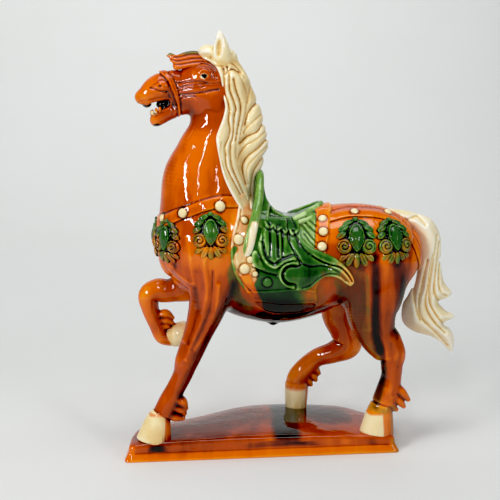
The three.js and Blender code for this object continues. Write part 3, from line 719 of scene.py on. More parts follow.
# Mane: the hair on both sides of the neck, from the poll down to the pommel
maneForm = readyForm({
    "outline": [(-60, 396), (-59.5, 402), (-53.6, 406), (-46, 406), (-38, 404), (-30.3, 403), (-22.9, 398.9),
                (-20.4, 390.6), (-15, 382.2), (-7.4, 365.4), (-2, 353.7), (3.5, 338.8), (6.8, 323.8), (10, 310.9),
                (6.8, 298), (2.5, 285), (-3, 276), (-4, 262), (-5.2, 252.5), (-9.8, 245), (-14.4, 239.5),
                (-18, 243.5), (-23, 249.5), (-30.2, 261.7), (-36, 274), (-39.4, 284), (-41.7, 295.7),
                (-43.8, 306.2), (-44.7, 316.7), (-41.5, 326), (-37.8, 335.4), (-35.7, 345.7), (-37.7, 356.1),
                (-39.2, 368.4), (-41, 378), (-46, 387), (-53, 391)],
    "round": 16, "rise": 3.6, "lockDepth": 2.0, "lockHalf": 5.6, "strandDepth": 0.9, "strandHalf": 2.4,
    "partingHalf": 1.6, "partingDepth": 1.2, "earHollow": ((-41.2, -19, 402), (3.2, 4.5, 9), -4), "lining": 7,
    "strands": [
        [(-33, 384), (-31.2, 375.6), (-31.2, 368.4), (-30.7, 361.2), (-27.1, 351.9), (-25, 343.6), (-26.6, 337.4),
         (-27.2, 326.9), (-28.2, 316.5), (-30.4, 311.2)],
        [(-21.5, 382), (-20.2, 375.6), (-16, 365.3), (-12.9, 356), (-13.9, 347.7), (-15.5, 338.4), (-18.2, 327.9),
         (-20.3, 318.5), (-21.4, 310.1)],
        [(-36.5, 382), (-35.9, 375.6), (-35.5, 360.2), (-32.9, 351.9), (-31.3, 342.6), (-32.4, 333.2),
         (-30.9, 323.8), (-32.5, 316.5), (-36.2, 308.1), (-35.7, 300.8), (-35.2, 290.2), (-31, 279.6),
         (-23.6, 265.7), (-18, 254), (-15, 240)],
        [(-24.6, 311.2), (-25.1, 300.7), (-23.5, 290.1), (-20.4, 280.6), (-15, 270.9), (-11.5, 259), (-12.5, 246)],
        [(-30.4, 311.2), (-30.9, 299.7), (-28.9, 287), (-23.6, 274.2), (-18.5, 263), (-14.5, 252), (-13.5, 242)],
        [(-3, 375), (-9.7, 364.3), (-11.8, 356), (-12.9, 349.8)],
        [(3, 354), (-4.4, 348.7), (-9.7, 343.6), (-13.4, 337.3), (-15.5, 329)],
        [(10, 344), (1.4, 338.3), (-5.5, 333.1), (-12.9, 326.9), (-17.1, 320.6)],
        [(12, 336), (2.5, 328.9), (-3.3, 321.6), (-12.9, 317.4), (-20.3, 311.2)],
        [(14, 326), (5.7, 321.6), (-4.4, 314.2), (-15, 308), (-21.4, 299.6), (-23.5, 290.1)],
        [(16, 318), (6.8, 314.2), (-2.3, 305.8), (-10.8, 299.5), (-16.1, 293.2), (-18.2, 284.8), (-15, 270.9)],
        [(12, 310), (5.2, 305.8), (-4.4, 297.4), (-11.8, 290), (-14, 281.6), (-11.8, 269.8)],
        [(8, 300), (3.1, 296.3), (-2.2, 290), (-6.5, 282.6), (-8.6, 270.9), (-9.2, 258.1)],
        [(-46, 386), (-39, 384.8), (-30.7, 387.9), (-23.4, 383.8), (-16, 374)],
        [(-34.9, 377), (-28.6, 381.8), (-21.3, 378.7)],
        [(-24, 400), (-30, 394), (-40, 393)],
        [(-27, 372), (-24, 360), (-20.5, 350), (-20.5, 338), (-23, 326), (-25, 314)],
        [(-39.5, 312), (-40.5, 302), (-38, 290), (-33.5, 277)],
    ],
})
ears = [limb(rows) for rows in (
    [(-38, -11, 388, 6.5, 9.5), (-38, -13, 397, 6, 8.8), (-38.5, -14, 406, 4.8, 6.6),
     (-39.4, -14.4, 414, 3, 3.8), (-40, -14.5, 418, 1.2, 1.4)],
    [(-28, 10, 388, 6, 8), (-26.5, 12, 395, 5, 5.5), (-25.5, 13, 400, 2.6, 3.2)])]


def maneSkin(p):
    form = maneForm
    base = blend(trunkSkin(p), p, skull, 8)
    side = form["outline"](p)
    lying = meet(base - form["rise"], side, 3)
    depth = np.minimum(-side, form["round"])
    full = np.sqrt(p[:, 1] ** 2 + (form["round"] - depth) ** 2) - form["round"]
    d = melt(lying, full, 3)
    parting = form["partingDepth"] * bell(p[:, 1] / form["partingHalf"])
    d = d + score(p, form["strands"][::2], form["lockDepth"], form["lockHalf"]) + parting
    d = d + score(p, form["strands"], form["strandDepth"], form["strandHalf"])
    d = blendAll(d, p, ears, 2.5)
    d = blend(d, p, egg(*form["earHollow"]), 2, carve)
    # Only a lining is kept under the hair, so that the neck's volume isn't filled twice
    return meet(d, -(base + form["lining"]), 1)


# Forelock: a ribbed tuft lying forward over the brow, its tip turned up
forelockForm = readyForm({
    "outline": [(-91, 395.8), (-88, 398), (-84.5, 397.2), (-81, 395.8), (-74.7, 398.2), (-67.4, 399.8), (-60, 399.5),
                (-52, 396), (-50, 390), (-58, 384), (-68, 384), (-76, 382), (-83.2, 381.5), (-86, 388), (-89, 392)],
    "foot": 384.0, "wide": 11.0, "narrow": 0.42, "grooveDepth": 1.3, "strandHalf": 2.2,
    "strands": [[(-90, 397), (-84, 393.5), (-77, 394), (-68, 396), (-56, 396)],
                [(-89, 393), (-82, 389.8), (-75, 390.4), (-66, 392), (-55, 392.5)],
                [(-87, 388), (-80, 386.2), (-73, 387.2), (-64, 388.6), (-55, 389.5)]],
})


def forelockSkin(p):
    wide = forelockForm["wide"] - forelockForm["narrow"] * (p[:, 2] - forelockForm["foot"])
    d = meet(forelockForm["outline"](p), np.abs(p[:, 1]) - wide, 4)
    return d + score(p, forelockForm["strands"], forelockForm["grooveDepth"], forelockForm["strandHalf"])


# Tail: a flowing plume with curled ends
tailForm = readyForm({
    "outline": [(126, 236), (131, 242.5), (140, 242), (147.4, 241), (156, 239.4), (166.3, 236.5), (177.5, 232),
                (185.6, 221), (189.3, 208.9), (189.9, 190.1), (190.9, 176.8), (194.1, 164.5), (201.1, 156.5),
                (202.9, 153.1), (199.1, 148.7), (192.4, 146.6), (190.4, 144.5), (197.2, 136.4), (206.3, 129.4),
                (205, 126.1), (196.5, 122.9), (197.8, 119.5), (204.9, 110.3), (206.8, 100), (205.5, 92),
                (202.1, 90.4), (192.7, 100.4), (181.2, 107.5), (167.5, 111.2), (156.1, 117.2), (150.3, 125.2),
                (149.5, 135.3),
                (151, 144.2), (155.3, 150.8), (160.5, 163), (163.4, 179.5), (163.6, 195), (161.5, 209.3),
                (158, 215.9), (150, 226), (139, 233)],
    "round": 13.0, "edgeHalf": 2.5, "swell": 1.1, "grooveDepth": 2.6, "strandHalf": 3.6,
    "strands": [
        [(183, 215), (181, 202.9), (178.6, 192), (175.3, 170.1), (174.7, 153.6), (177.3, 142.4), (184.3, 131.2),
         (192.4, 122), (197, 118)],
        [(186, 208), (184, 196.3), (180.8, 172.2), (180.1, 159), (182.5, 152.3), (190.7, 141), (198.7, 134.2)],
        [(178, 196), (175, 181.1), (173.4, 161.3), (171.5, 150.3), (172.9, 139.2), (181.1, 125.7), (193.8, 113)],
        [(173, 190), (169.7, 172.4), (167.8, 161.5), (164.8, 150.5), (164, 141.6), (166.5, 131.6), (175.7, 121.3),
         (187.2, 110.9), (198.8, 98.3)],
        [(165, 178), (163.3, 167.1), (161.3, 156.1), (161.1, 146.1), (162.4, 137.2), (166.5, 128.2)],
        [(150, 231.5), (154.9, 233), (162.5, 234.1), (169.3, 226.9)],
        [(188, 190), (186.2, 176.5), (185.5, 164.4), (188, 156.6), (194.8, 152)],
    ],
}, 2)


def tailSkin(p):
    form, side = tailForm, tailForm["outline"](p)
    depth = np.minimum(-side, form["round"])
    d = np.sqrt(p[:, 1] ** 2 + (form["round"] - depth) ** 2) - form["round"]
    d = meet(d, np.abs(p[:, 1]) - form["edgeHalf"] + form["swell"] * side, 3)
    return d + score(p, form["strands"], form["grooveDepth"], form["strandHalf"])


# Saddle cloth, flaps and seat: the trunk's skin raised inside side outlines
clothForm = readyForm({
    "outline": [(-18, 262), (-23.6, 250.7), (-26, 240.6), (-30.1, 228.6), (-32.5, 217.5), (-33, 205.3), (-31.5, 195),
                (-28.9, 186.5), (-23.3, 176), (-14.9, 165.3), (-5, 153), (6, 145.5), (27.7, 143.5), (51, 147),
                (53, 158), (51, 170), (56, 182), (63, 188), (60.6, 205), (64.9, 222.5), (67, 235), (69, 242),
                (70, 262)],
    "rise": 2.6, "wall": 4.0,
    # Two low ridges, the edge seam, the rear pleats and the seams of the rear band
    "lines": [([(-20, 168.5), (-6.2, 168.8), (7.8, 169.3), (26.5, 170.6), (38.7, 170.2), (50, 168)], -0.9, 1.1),
              ([(-12, 159.5), (-3.2, 159.3), (17.5, 156.6), (45.8, 156.3), (51, 155)], -0.8, 1.1),
              ([(-11.1, 194.1), (0, 188.3), (11.2, 185.3)], 1.8, 1.2),
              ([(-20.5, 250), (-22.8, 240), (-26.8, 228), (-29.2, 217.5), (-29.6, 205.5), (-25.7, 188.5),
                (-20.3, 178), (-12, 168)], 0.8, 0.8),
              ([(40, 236.5), (46, 229.5), (52.5, 224)], 1.8, 1.0),
              ([(40, 230), (45, 222.5), (51.5, 215.5)], 1.8, 1.0),
              ([(45.5, 237), (49.5, 233), (53.5, 230)], 1.8, 1.0),
              ([(41, 222.5), (45, 216.5), (50, 211)], 1.6, 1.0),
              ([(54.8, 242), (53.5, 234), (51.8, 225), (50, 211)], 1.4, 0.8),
              ([(68, 243), (66, 235), (63.9, 222.5), (60, 207)], 0.7, 0.8)],
})


def clothSkin(p):
    trunk = trunkSkin(p)
    d = pressed(trunk - clothForm["rise"], p, clothForm["lines"])
    return meet(meet(d, clothForm["outline"](p), 2), -(trunk + clothForm["wall"]), 1)


flapForm = readyForm({
    "flap": [(2.5, 240), (0.6, 234.8), (-3.7, 222.8), (-6.5, 213.6), (-4.5, 204.5), (-1, 198), (3.5, 194),
             (10.2, 192), (18.6, 196.8), (27, 199.6), (36, 200), (46, 203), (42, 212), (37, 222), (35, 234),
             (32, 237.5), (18, 238.5)],
    "flapRise": 6.6,
    "lobe": [(-12, 208.1), (-12.9, 201.6), (-11.1, 195.1), (-5, 191.5), (0, 191.5), (-2.3, 198), (-4.6, 205.2),
             (-8.3, 209.5)],
    "lobeRise": 5.0,
    "drape": [(33, 236.5), (36.5, 233), (37, 225.9), (38.9, 218.5), (44.6, 212.8), (54, 207.9), (63.4, 204),
              (72.9, 198.2), (82.4, 188.6), (87.3, 180.9), (88.6, 175.2), (85.5, 171.8), (80.8, 174.4),
              (73.1, 180.3), (63.6, 183.3), (56.1, 181.6), (48.7, 176), (43, 171), (33, 170), (24, 172.5),
              (16.5, 177.5), (12.4, 185), (13.4, 192.5), (19, 197.5), (26, 199), (33, 205)],
    "drapeRise": 6.4,
    # Pleats of the flap
    "strands": [[(6.5, 232.5), (5.6, 222.6), (5.7, 213.3), (4.5, 204)], [(13, 230), (13.2, 217.8), (13.1, 203.5)],
               [(18.6, 228), (17.7, 217.7), (16.8, 204)], [(25.1, 227), (24.2, 218.5), (28, 209.2), (33, 201)],
               [(29.7, 226), (35.4, 212.8), (43, 204.6)], [(1, 235), (-1.8, 224.5), (-0.8, 212)]],
    "pleatDepth": 1.6, "pleatHalf": 2.8,
    "scallops": [(1.5, 234.6), (5.5, 231.2), (10.1, 232.6), (13.5, 228.8), (17.5, 230), (21, 226), (25.5, 227.6),
                 (28.5, 224.2), (34, 227)],
    # The hem follows the flap's lower edge, between these points of it. Each roll and groove has its height or
    # depth, how far from its line it lies, and its half width
    "hem": (3, 10), "hemRoll": (1.4, 1.8, 1.6), "hemGroove": (1.4, 5.2, 1.3),
    "fringeRoll": (1.2, 0.0, 1.5), "fringeGroove": (0.9, 2.6, 0.9),
    "scrollRoll": (2.0, 0.0, 1.5), "scrollGroove": (1.6, 3.4, 1.1),
    # Swelling of the drape: its middle, half length, half height and how far it stands out
    "belly": (30, 184, 15, 8, 1.6), "wall": 3,
    "scroll": [(31, 197.5), (24.8, 197.8), (18.3, 195.6), (14.8, 191), (13.6, 185.6), (15.4, 179.8), (20.3, 175.4),
               (26.5, 173.8)],
    # Seams of the drape
    "lines": [([(32.3, 226), (34.3, 218.5), (39.9, 209.1), (49.4, 201.5), (61.6, 195.6), (72.9, 192.5),
                (80.6, 185.8), (86.4, 177.2)], 1.9, 1.0),
              ([(30, 199.5), (42.9, 194.1), (54.1, 194.4), (63.5, 192.2), (74, 186), (83, 177)], 0.8, 1.2),
              ([(36, 172.6), (44.9, 176.2), (50.5, 181), (59.9, 185.8), (71.2, 185.2), (80, 178)], 0.9, 1.1)],
})
flapForm["roll"] = flapForm["flap"][slice(*flapForm["hem"])]
flapOutlines = {name: sideOutline(flapForm[name], 3) for name in ("flap", "lobe", "drape")}
flapPaths = {name: curveThrough(flapForm[name], 3) for name in ("roll", "scroll", "scallops")}


def flapEdge(away, name):
    # One roll or groove along an edge, by distance from its line
    tall, place, half = flapForm[name]
    return tall * bell((away - place) / half)


def flapsSkin(p):
    x, _, z = p.T
    trunk = trunkSkin(p)
    below = z < 229.5 - 0.15 * (x - 15)
    pleat = score(p, flapForm["strands"], flapForm["pleatDepth"], flapForm["pleatHalf"])
    pleat = pleat * ease(z, 199, 205) * (1 - ease(z + 0.22 * x, 234, 236))
    hem, fringe, rim = (lineDistance(p, flapPaths[name]) for name in ("roll", "scallops", "scroll"))
    flap = trunk - flapForm["flapRise"] + pleat - flapEdge(hem, "hemRoll") + flapEdge(hem, "hemGroove")
    flap = flap - flapEdge(fringe, "fringeRoll") + flapEdge(fringe, "fringeGroove") * below
    flap = meet(flap, flapOutlines["flap"](p), 3)
    drape = pressed(trunk - flapForm["drapeRise"], p, flapForm["lines"])
    drape = drape - flapEdge(rim, "scrollRoll") + flapEdge(rim, "scrollGroove")
    middle, height, halfLong, halfTall, bulge = flapForm["belly"]
    belly = bulge * bell(np.hypot((x - middle) / halfLong, (z - height) / halfTall))
    drape = meet(drape - belly, flapOutlines["drape"](p), 3)
    lobe = meet(trunk - flapForm["lobeRise"], flapOutlines["lobe"](p), 3)
    d = melt(melt(flap, drape, 0.6), lobe, 0.8)
    return meet(d, -(trunk + flapForm["wall"]), 1)


seatForm = {
    "outline": [(-9, 232), (-6, 262), (-4, 277), (0.5, 283.6), (3.4, 279), (4.0, 267), (5.7, 256.6), (10.7, 249),
                (17.6, 242.6), (24.5, 239), (32, 237.6), (40, 239.2), (48.6, 242.4), (54.4, 245.6), (60, 248.8),
                (64, 249.5), (66, 245), (60, 237), (48, 229), (34, 222), (20, 218)],
    # Half width of the seat by how far back it lies
    "plan": ((4, 10, 17, 24, 34, 42, 50, 58, 66), (40, 15, 17, 20, 20.5, 17.5, 13.5, 9, 4)),
    # Half of its outline seen from the front
    "front": [(-40, 205), (-38, 232), (-29, 246), (-20, 262), (-11, 276), (0, 284.5)],
    "pommel": [(-18, -49, 205, 4.6, 3.0), (-15.5, -49.5, 214, 5.2, 3.4), (-12, -46, 227, 5.2, 3.8),
               (-8.8, -41.5, 238, 4.8, 4.0), (-5.4, -35, 248, 4.4, 4.0), (-3.0, -28, 257, 4.2, 4.0),
               (-1.4, -20, 267, 4.1, 4.0), (0.2, -10, 277, 3.6, 3.4), (0.8, 0, 280.6, 3.2, 3.0)],
    "cantle": [(33, -21, 235.5, 2.8, 2.8), (44, -16.5, 239.6, 3.4, 3.4), (52.5, -11, 243.4, 3.6, 3.4),
               (59.5, -6, 247, 3.4, 3.2), (63, 0, 248.6, 3.0, 3.0)],
    "cantleLow": [(37, -27, 233.5, 2.4, 2.2), (46, -24, 235.8, 2.4, 2.2), (54, -19.5, 238.3, 2.4, 2.2),
                  (63, -12, 241.5, 2.4, 2.2), (69.5, 0, 243.8, 2.4, 2.2)],
}


def overHorse(half):
    return half + [(x, -y, z, w, d) for x, y, z, w, d in reversed(half[:-1])]


seatSide = sideOutline(seatForm["outline"], 3)
seatAcross = sideOutline(seatForm["front"] + [(-y, z) for y, z in reversed(seatForm["front"][:-1])], 3)
arches = {name: limb(overHorse(seatForm[name]), across=(1, 0, 0)) for name in ("pommel", "cantle", "cantleLow")}


def seatSkin(p):
    wide = np.interp(p[:, 0], *seatForm["plan"])
    d = meet(meet(seatSide(p), seatAcross(p[:, [1, 0, 2]]), 5), np.abs(p[:, 1]) - wide, 3)
    for name, soft in (("pommel", 2.5), ("cantle", 1.2), ("cantleLow", 1.2)):
        d = blend(d, p, arches[name], soft)
    return d


# Ornaments: leaves, scrolls and a pointed boss, standing on the skin they lie on
ornamentForm = {
    "tall": 27.0, "wide": 19.0, "plate": 1.5,
    # Leaves [across, up, half long, half wide, turn, height], one side of the ornament
    "leaves": [(0, 24.2, 3.2, 2.8, 0, 4.4), (7.2, 20.6, 6.2, 3.0, -26, 4.4), (12.2, 14.6, 6.0, 3.4, -30, 4.6),
               (14.6, 7.4, 5.4, 3.4, -34, 4.2), (0, -17.6, 3.5, 7.2, 0, 4.6), (6.6, -16.8, 7.2, 3.5, -60, 4.4),
               (12.2, -14.0, 6.2, 3.2, -38, 4.2)],
    # Boss [middle, half width, reach up, reach down, height]; scroll [across, up, half, height, pitch, depth]
    "boss": (5.0, 7.6, 13.4, 14.4, 5.8), "scroll": (12.2, -4.2, 7.4, 5.6, 3.9, 1.8),
}


def bossShare(u, v):
    # Below 1 inside the boss, which is round above and pointed below
    middle, half, over, under, _ = ornamentForm["boss"]
    up = v - middle
    return np.where(up > 0, np.hypot(u / half, up / over), (np.abs(u) / half) ** 1.25 + np.abs(up / under) ** 1.7)


def ornamentHeight(u, v):
    form = ornamentForm
    mirrored = np.abs(u)
    edge = np.hypot(u / form["wide"], v / form["tall"])
    height = np.where(edge < 0.86, form["plate"], -3.0)
    for across, up, long, wide, degrees, rise in form["leaves"]:
        c, s = math.cos(math.radians(degrees)), math.sin(math.radians(degrees))
        a, b = mirrored - across, v - up
        a, b = a * c + b * s, b * c - a * s
        k = (a / long) ** 2 + (b / wide) ** 2
        vein = 0.9 * bell(b / 0.7) * (k < 0.6) if across else 0
        height = np.maximum(height, np.where(k < 1, rise * np.maximum(1 - k, 0) ** 0.3 - vein, -3))
    across, up, half, rise, pitch, deep = form["scroll"]
    a, b = mirrored - across, v - up
    r = np.hypot(a, b)
    coil = deep * (0.5 + 0.5 * np.cos(2 * np.pi * r / pitch - np.arctan2(b, -a))) ** 2 * (r < 0.8 * half)
    height = np.where(r < half, np.maximum(rise * np.maximum(1 - (r / half) ** 2, 0) ** 0.25 - coil, form["plate"]),
                      np.where(r < half + 1.0, np.minimum(height, form["plate"]), height))
    share, rise = bossShare(u, v), form["boss"][4]
    rim = 1.2 * bell((share - 0.92) / 0.08)
    dome = 2.6 * np.sqrt(np.maximum(1 - share / 0.8, 0))
    height = np.where(share < 1.12, np.minimum(height, form["plate"]), height)
    return np.where(share < 1.0, rise - 1.8 + rim + dome, height)


ornamentPlaces = {
    "rump": [((90.7, 215), 1.0), ((130.2, 214.7), 0.98)],
    "chest": [((-52.0, 223.8), 0.9)],
}
chestTurns = [(6, 0.8), (51, 0.86), (-40, 0.86)]
chestCentre = (-60.0, 0.0, 216.0)


def ornamentFrame(point, normal):
    up = np.array((0, 0, 1.0)) - normal * normal[2]
    up /= np.linalg.norm(up)
    return [np.asarray(v, np.float32) for v in (point, normal, up, np.cross(up, normal))]


def ornamentAt(point, normal, scale):
    point, normal, up, right = ornamentFrame(point, normal)

    def field(p):
        q = p - point
        u, v = q @ right / scale, q @ up / scale
        skin = trunkSkin(p)
        d = (skin - scale * ornamentHeight(u, v)) * 0.55
        return meet(d, -(skin + 2.5), 0.6)

    reach = (ornamentForm["tall"] + 3) * scale
    low = point - np.abs(up) * reach - np.abs(right) * reach * 0.8 - np.abs(normal) * 16
    high = point + np.abs(up) * reach + np.abs(right) * reach * 0.8 + np.abs(normal) * 12
    return field, low, high


def ornamentTones(points, places, shift):
    # Green boss and upper leaves, amber scrolls and petals, dark creases between them
    frames = [ornamentFrame(point, normal) for point, normal, _ in places]
    nearest = np.argmin([((points - frame[0]) ** 2).sum(1) for frame in frames], axis=0)
    u, v = np.zeros(len(points), np.float32), np.zeros(len(points), np.float32)
    for i, (point, _, up, right) in enumerate(frames):
        mine = nearest == i
        away = (points[mine] - point) / places[i][2]
        u[mine], v[mine] = away @ right, away @ up
    boss = 1 - ease(bossShare(u, v), 0.98, 1.1)
    rise = trunkSkin(points)
    crease = 1 - ease(rise, 1.6, 3.0)
    green = np.maximum(boss * 0.68, 0.38 + 0.24 * ease(v, 2, 12)) + shift
    return dict(green=green, dark=0.75 * crease, shade=0.12 - 0.04 * boss - 0.08 * (1 - ease(v, -12, -4)))


def ornamentPiece(name, places, voxel=0.75):
    pieces = [skinOf(*ornamentAt(*place), voxel * detail, 2.0) for place in places]
    points, triangles, quads, count = [], [], [], 0
    for some, three, four in pieces:
        points.append(some)
        triangles.append(three + count)
        quads.append(four + count)
        count += len(some)
    mesh = meshFrom(name, *(np.concatenate(rows) for rows in (points, triangles, quads)))
    mesh.shade_smooth()
    print(f"{name}: {trianglesOf(mesh)} triangles")
    return standing(name, mesh)


# Beads: [x, z, radius, how far the skin under them is raised], on both sides
beadWork = {
    "places": [(-42.5, 251.4, 5.4, 1.2), (-77.5, 245, 5.0, 1.2), (-96.5, 238.2, 4.4, 1.0), (-19.5, 236.5, 4.4, 2.0),
               (-25.8, 219.8, 5.2, 2.4), (-19.6, 192.3, 5.6, 2.4), (-14.4, 200.6, 3.6, 2.6), (-9.8, 196.2, 3.0, 2.6),
               (-9.4, 187.2, 3.0, 2.6), (2.5, 178.9, 4.6, 2.4), (60.4, 235.4, 4.6, 2.4), (59.3, 224.3, 4.8, 2.4),
               (56.8, 211, 4.8, 2.4), (92.9, 242.1, 4.4, 1.2), (127.9, 240.3, 4.2, 1.2)],
    "flatness": 0.72, "variation": 0.05, "seed": 7, "mesh": (24, 14), "sink": 0.18, "greenAt": 2.5,
    # Glaze of the beads: darker from their tops to their feet, and on the green one
    "shade": -0.2, "footShade": 0.5, "footShare": (0.1, 0.7), "greenShade": 0.1, "greenNear": 3,
}


def beadNodes():
    # Sets one smooth bead on each point, turned along its "facing" and as large as its "size"
    group = bpy.data.node_groups.new("beadRows", "GeometryNodeTree")
    made = {}
    for name, kind, way in (("Points", "NodeSocketGeometry", "INPUT"), ("Flatness", "NodeSocketFloat", "INPUT"),
                            ("Variation", "NodeSocketFloat", "INPUT"), ("Seed", "NodeSocketInt", "INPUT"),
                            ("Glaze", "NodeSocketMaterial", "INPUT"), ("Beads", "NodeSocketGeometry", "OUTPUT")):
        made[name] = group.interface.new_socket(name, in_out=way, socket_type=kind).identifier
    add = group.nodes.new
    given, result = add("NodeGroupInput"), add("NodeGroupOutput")
    ball = add("GeometryNodeMeshUVSphere")
    ball.inputs["Segments"].default_value, ball.inputs["Rings"].default_value = beadWork["mesh"]
    size, facingWay = add("GeometryNodeInputNamedAttribute"), add("GeometryNodeInputNamedAttribute")
    size.data_type, facingWay.data_type = "FLOAT", "FLOAT_VECTOR"
    size.inputs["Name"].default_value, facingWay.inputs["Name"].default_value = "size", "facing"
    align = add("FunctionNodeAlignRotationToVector")
    align.axis = "Z"
    low, high, grown, flat = (add("ShaderNodeMath") for _ in range(4))
    for node, kind in ((low, "SUBTRACT"), (high, "ADD"), (grown, "MULTIPLY"), (flat, "MULTIPLY")):
        node.operation = kind
    low.inputs[0].default_value = high.inputs[0].default_value = 1.0
    chance, shape = add("FunctionNodeRandomValue"), add("ShaderNodeCombineXYZ")
    least, most = (i for i, socket in enumerate(chance.inputs) if socket.type == "VALUE" and socket.enabled)
    drawn = next(i for i, socket in enumerate(chance.outputs) if socket.type == "VALUE" and socket.enabled)
    scatter, realize = add("GeometryNodeInstanceOnPoints"), add("GeometryNodeRealizeInstances")
    smooth, glazeNode = add("GeometryNodeSetShadeSmooth"), add("GeometryNodeSetMaterial")
    for source, output, target, socket in (
            (facingWay, "Attribute", align, "Vector"), (given, "Variation", low, 1), (given, "Variation", high, 1),
            (low, 0, chance, least), (high, 0, chance, most), (given, "Seed", chance, "Seed"),
            (size, "Attribute", grown, 0), (chance, drawn, grown, 1), (grown, 0, flat, 0),
            (given, "Flatness", flat, 1), (grown, 0, shape, "X"), (grown, 0, shape, "Y"), (flat, 0, shape, "Z"),
            (given, "Points", scatter, "Points"), (ball, "Mesh", scatter, "Instance"),
            (align, "Rotation", scatter, "Rotation"), (shape, "Vector", scatter, "Scale"),
            (scatter, "Instances", realize, "Geometry"), (realize, "Geometry", smooth, "Geometry"),
            (smooth, "Geometry", glazeNode, "Geometry"), (given, "Glaze", glazeNode, "Material"),
            (glazeNode, "Geometry", result, "Beads")):
        group.links.new(source.outputs[output], target.inputs[socket])
    return group, made


def beadPlaces():
    rows = []
    for side in (-1, 1):
        for x, z, radius, rise in beadWork["places"]:
            point, way = touchSide(trunkSkin, x, z, side)
            rows.append((*(point + way * (rise - radius * beadWork["sink"])), *way, radius))
    return np.array(rows)


def beadPiece(rows):
    mesh = bpy.data.meshes.new("beadPoints")
    mesh.from_pydata((rows[:, :3] * mm).tolist(), [], [])
    mesh.attributes.new("size", "FLOAT", "POINT").data.foreach_set("value", (rows[:, 6] * mm).astype(np.float32))
    mesh.attributes.new("facing", "FLOAT_VECTOR", "POINT").data.foreach_set(
        "vector", rows[:, 3:6].astype(np.float32).ravel())
    holder = standing("beadPoints", mesh)
    modifier = holder.modifiers.new("beadRows", "NODES")
    modifier.node_group, sockets = beadNodes()
    for name, key in (("Flatness", "flatness"), ("Variation", "variation"), ("Seed", "seed")):
        modifier[sockets[name]] = beadWork[key]
    modifier[sockets["Glaze"]] = glaze
    ready = holder.evaluated_get(bpy.context.evaluated_depsgraph_get())
    plain = bpy.data.meshes.new_from_object(ready)
    holder.modifiers.clear()
    bpy.data.objects.remove(holder)
    return standing("beads", plain)


# Finishing: the plain glaze has no marks, and "stir" says how much its borders wander
plainGlaze = {"green": 0.0, "cream": 0.0, "dark": 0.0, "shade": 0.0, "stir": 0.55}


def dress(obj, fine=3.0, broad=0.45, ridge=0.5, still=0.045, **marks):
    # Paints the fine and broad hollows, less on ridges, and the glaze marks, then sets the piece in the frame.
    # Hollows shallower than "still" count as flat
    near = hollows(obj, 6)
    near = np.sign(near) * np.maximum(np.abs(near) - still, 0)
    values = np.clip(near * fine, -1, 1) + np.clip(hollows(obj, 40) * broad, -0.6, 0.6)
    paint(obj, "hollow", np.where(values < 0, values * ridge, values))
    for name, value in {**plainGlaze, **marks}.items():
        paint(obj, name, np.broadcast_to(np.asarray(value, np.float32), (len(obj.data.vertices),)))
    obj.data.materials.clear()
    obj.data.materials.append(glaze)
    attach(obj, "root")
    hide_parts(horseNode)


def runs(points, marks, add=False):
    # Soft strokes of glaze along side paths: [path, half width, soft edge, strength]
    total = np.zeros(len(points), np.float32)
    for line, half, soft, strength in marks:
        stroke = strength * (1 - ease(lineDistance(points, curveThrough(line, 3)), half, half + soft))
        total = total + stroke if add else np.maximum(total, stroke)
    return total


def beadRings(points, rows):
    # Painted shade with pooled glaze: darker in the crease round each bead
    ring = np.zeros(len(points), np.float32)
    for row in rows:
        away = np.sqrt(((points - row[:3]) ** 2).sum(1)) - row[6]
        ring = np.maximum(ring, 0.4 * (1 - ease(away, 0.4, 2.2)))
    return ring


def inside(points, outline, soft=3.0):
    return 1 - ease(sideOutline(outline, 3)(points), -soft, soft)


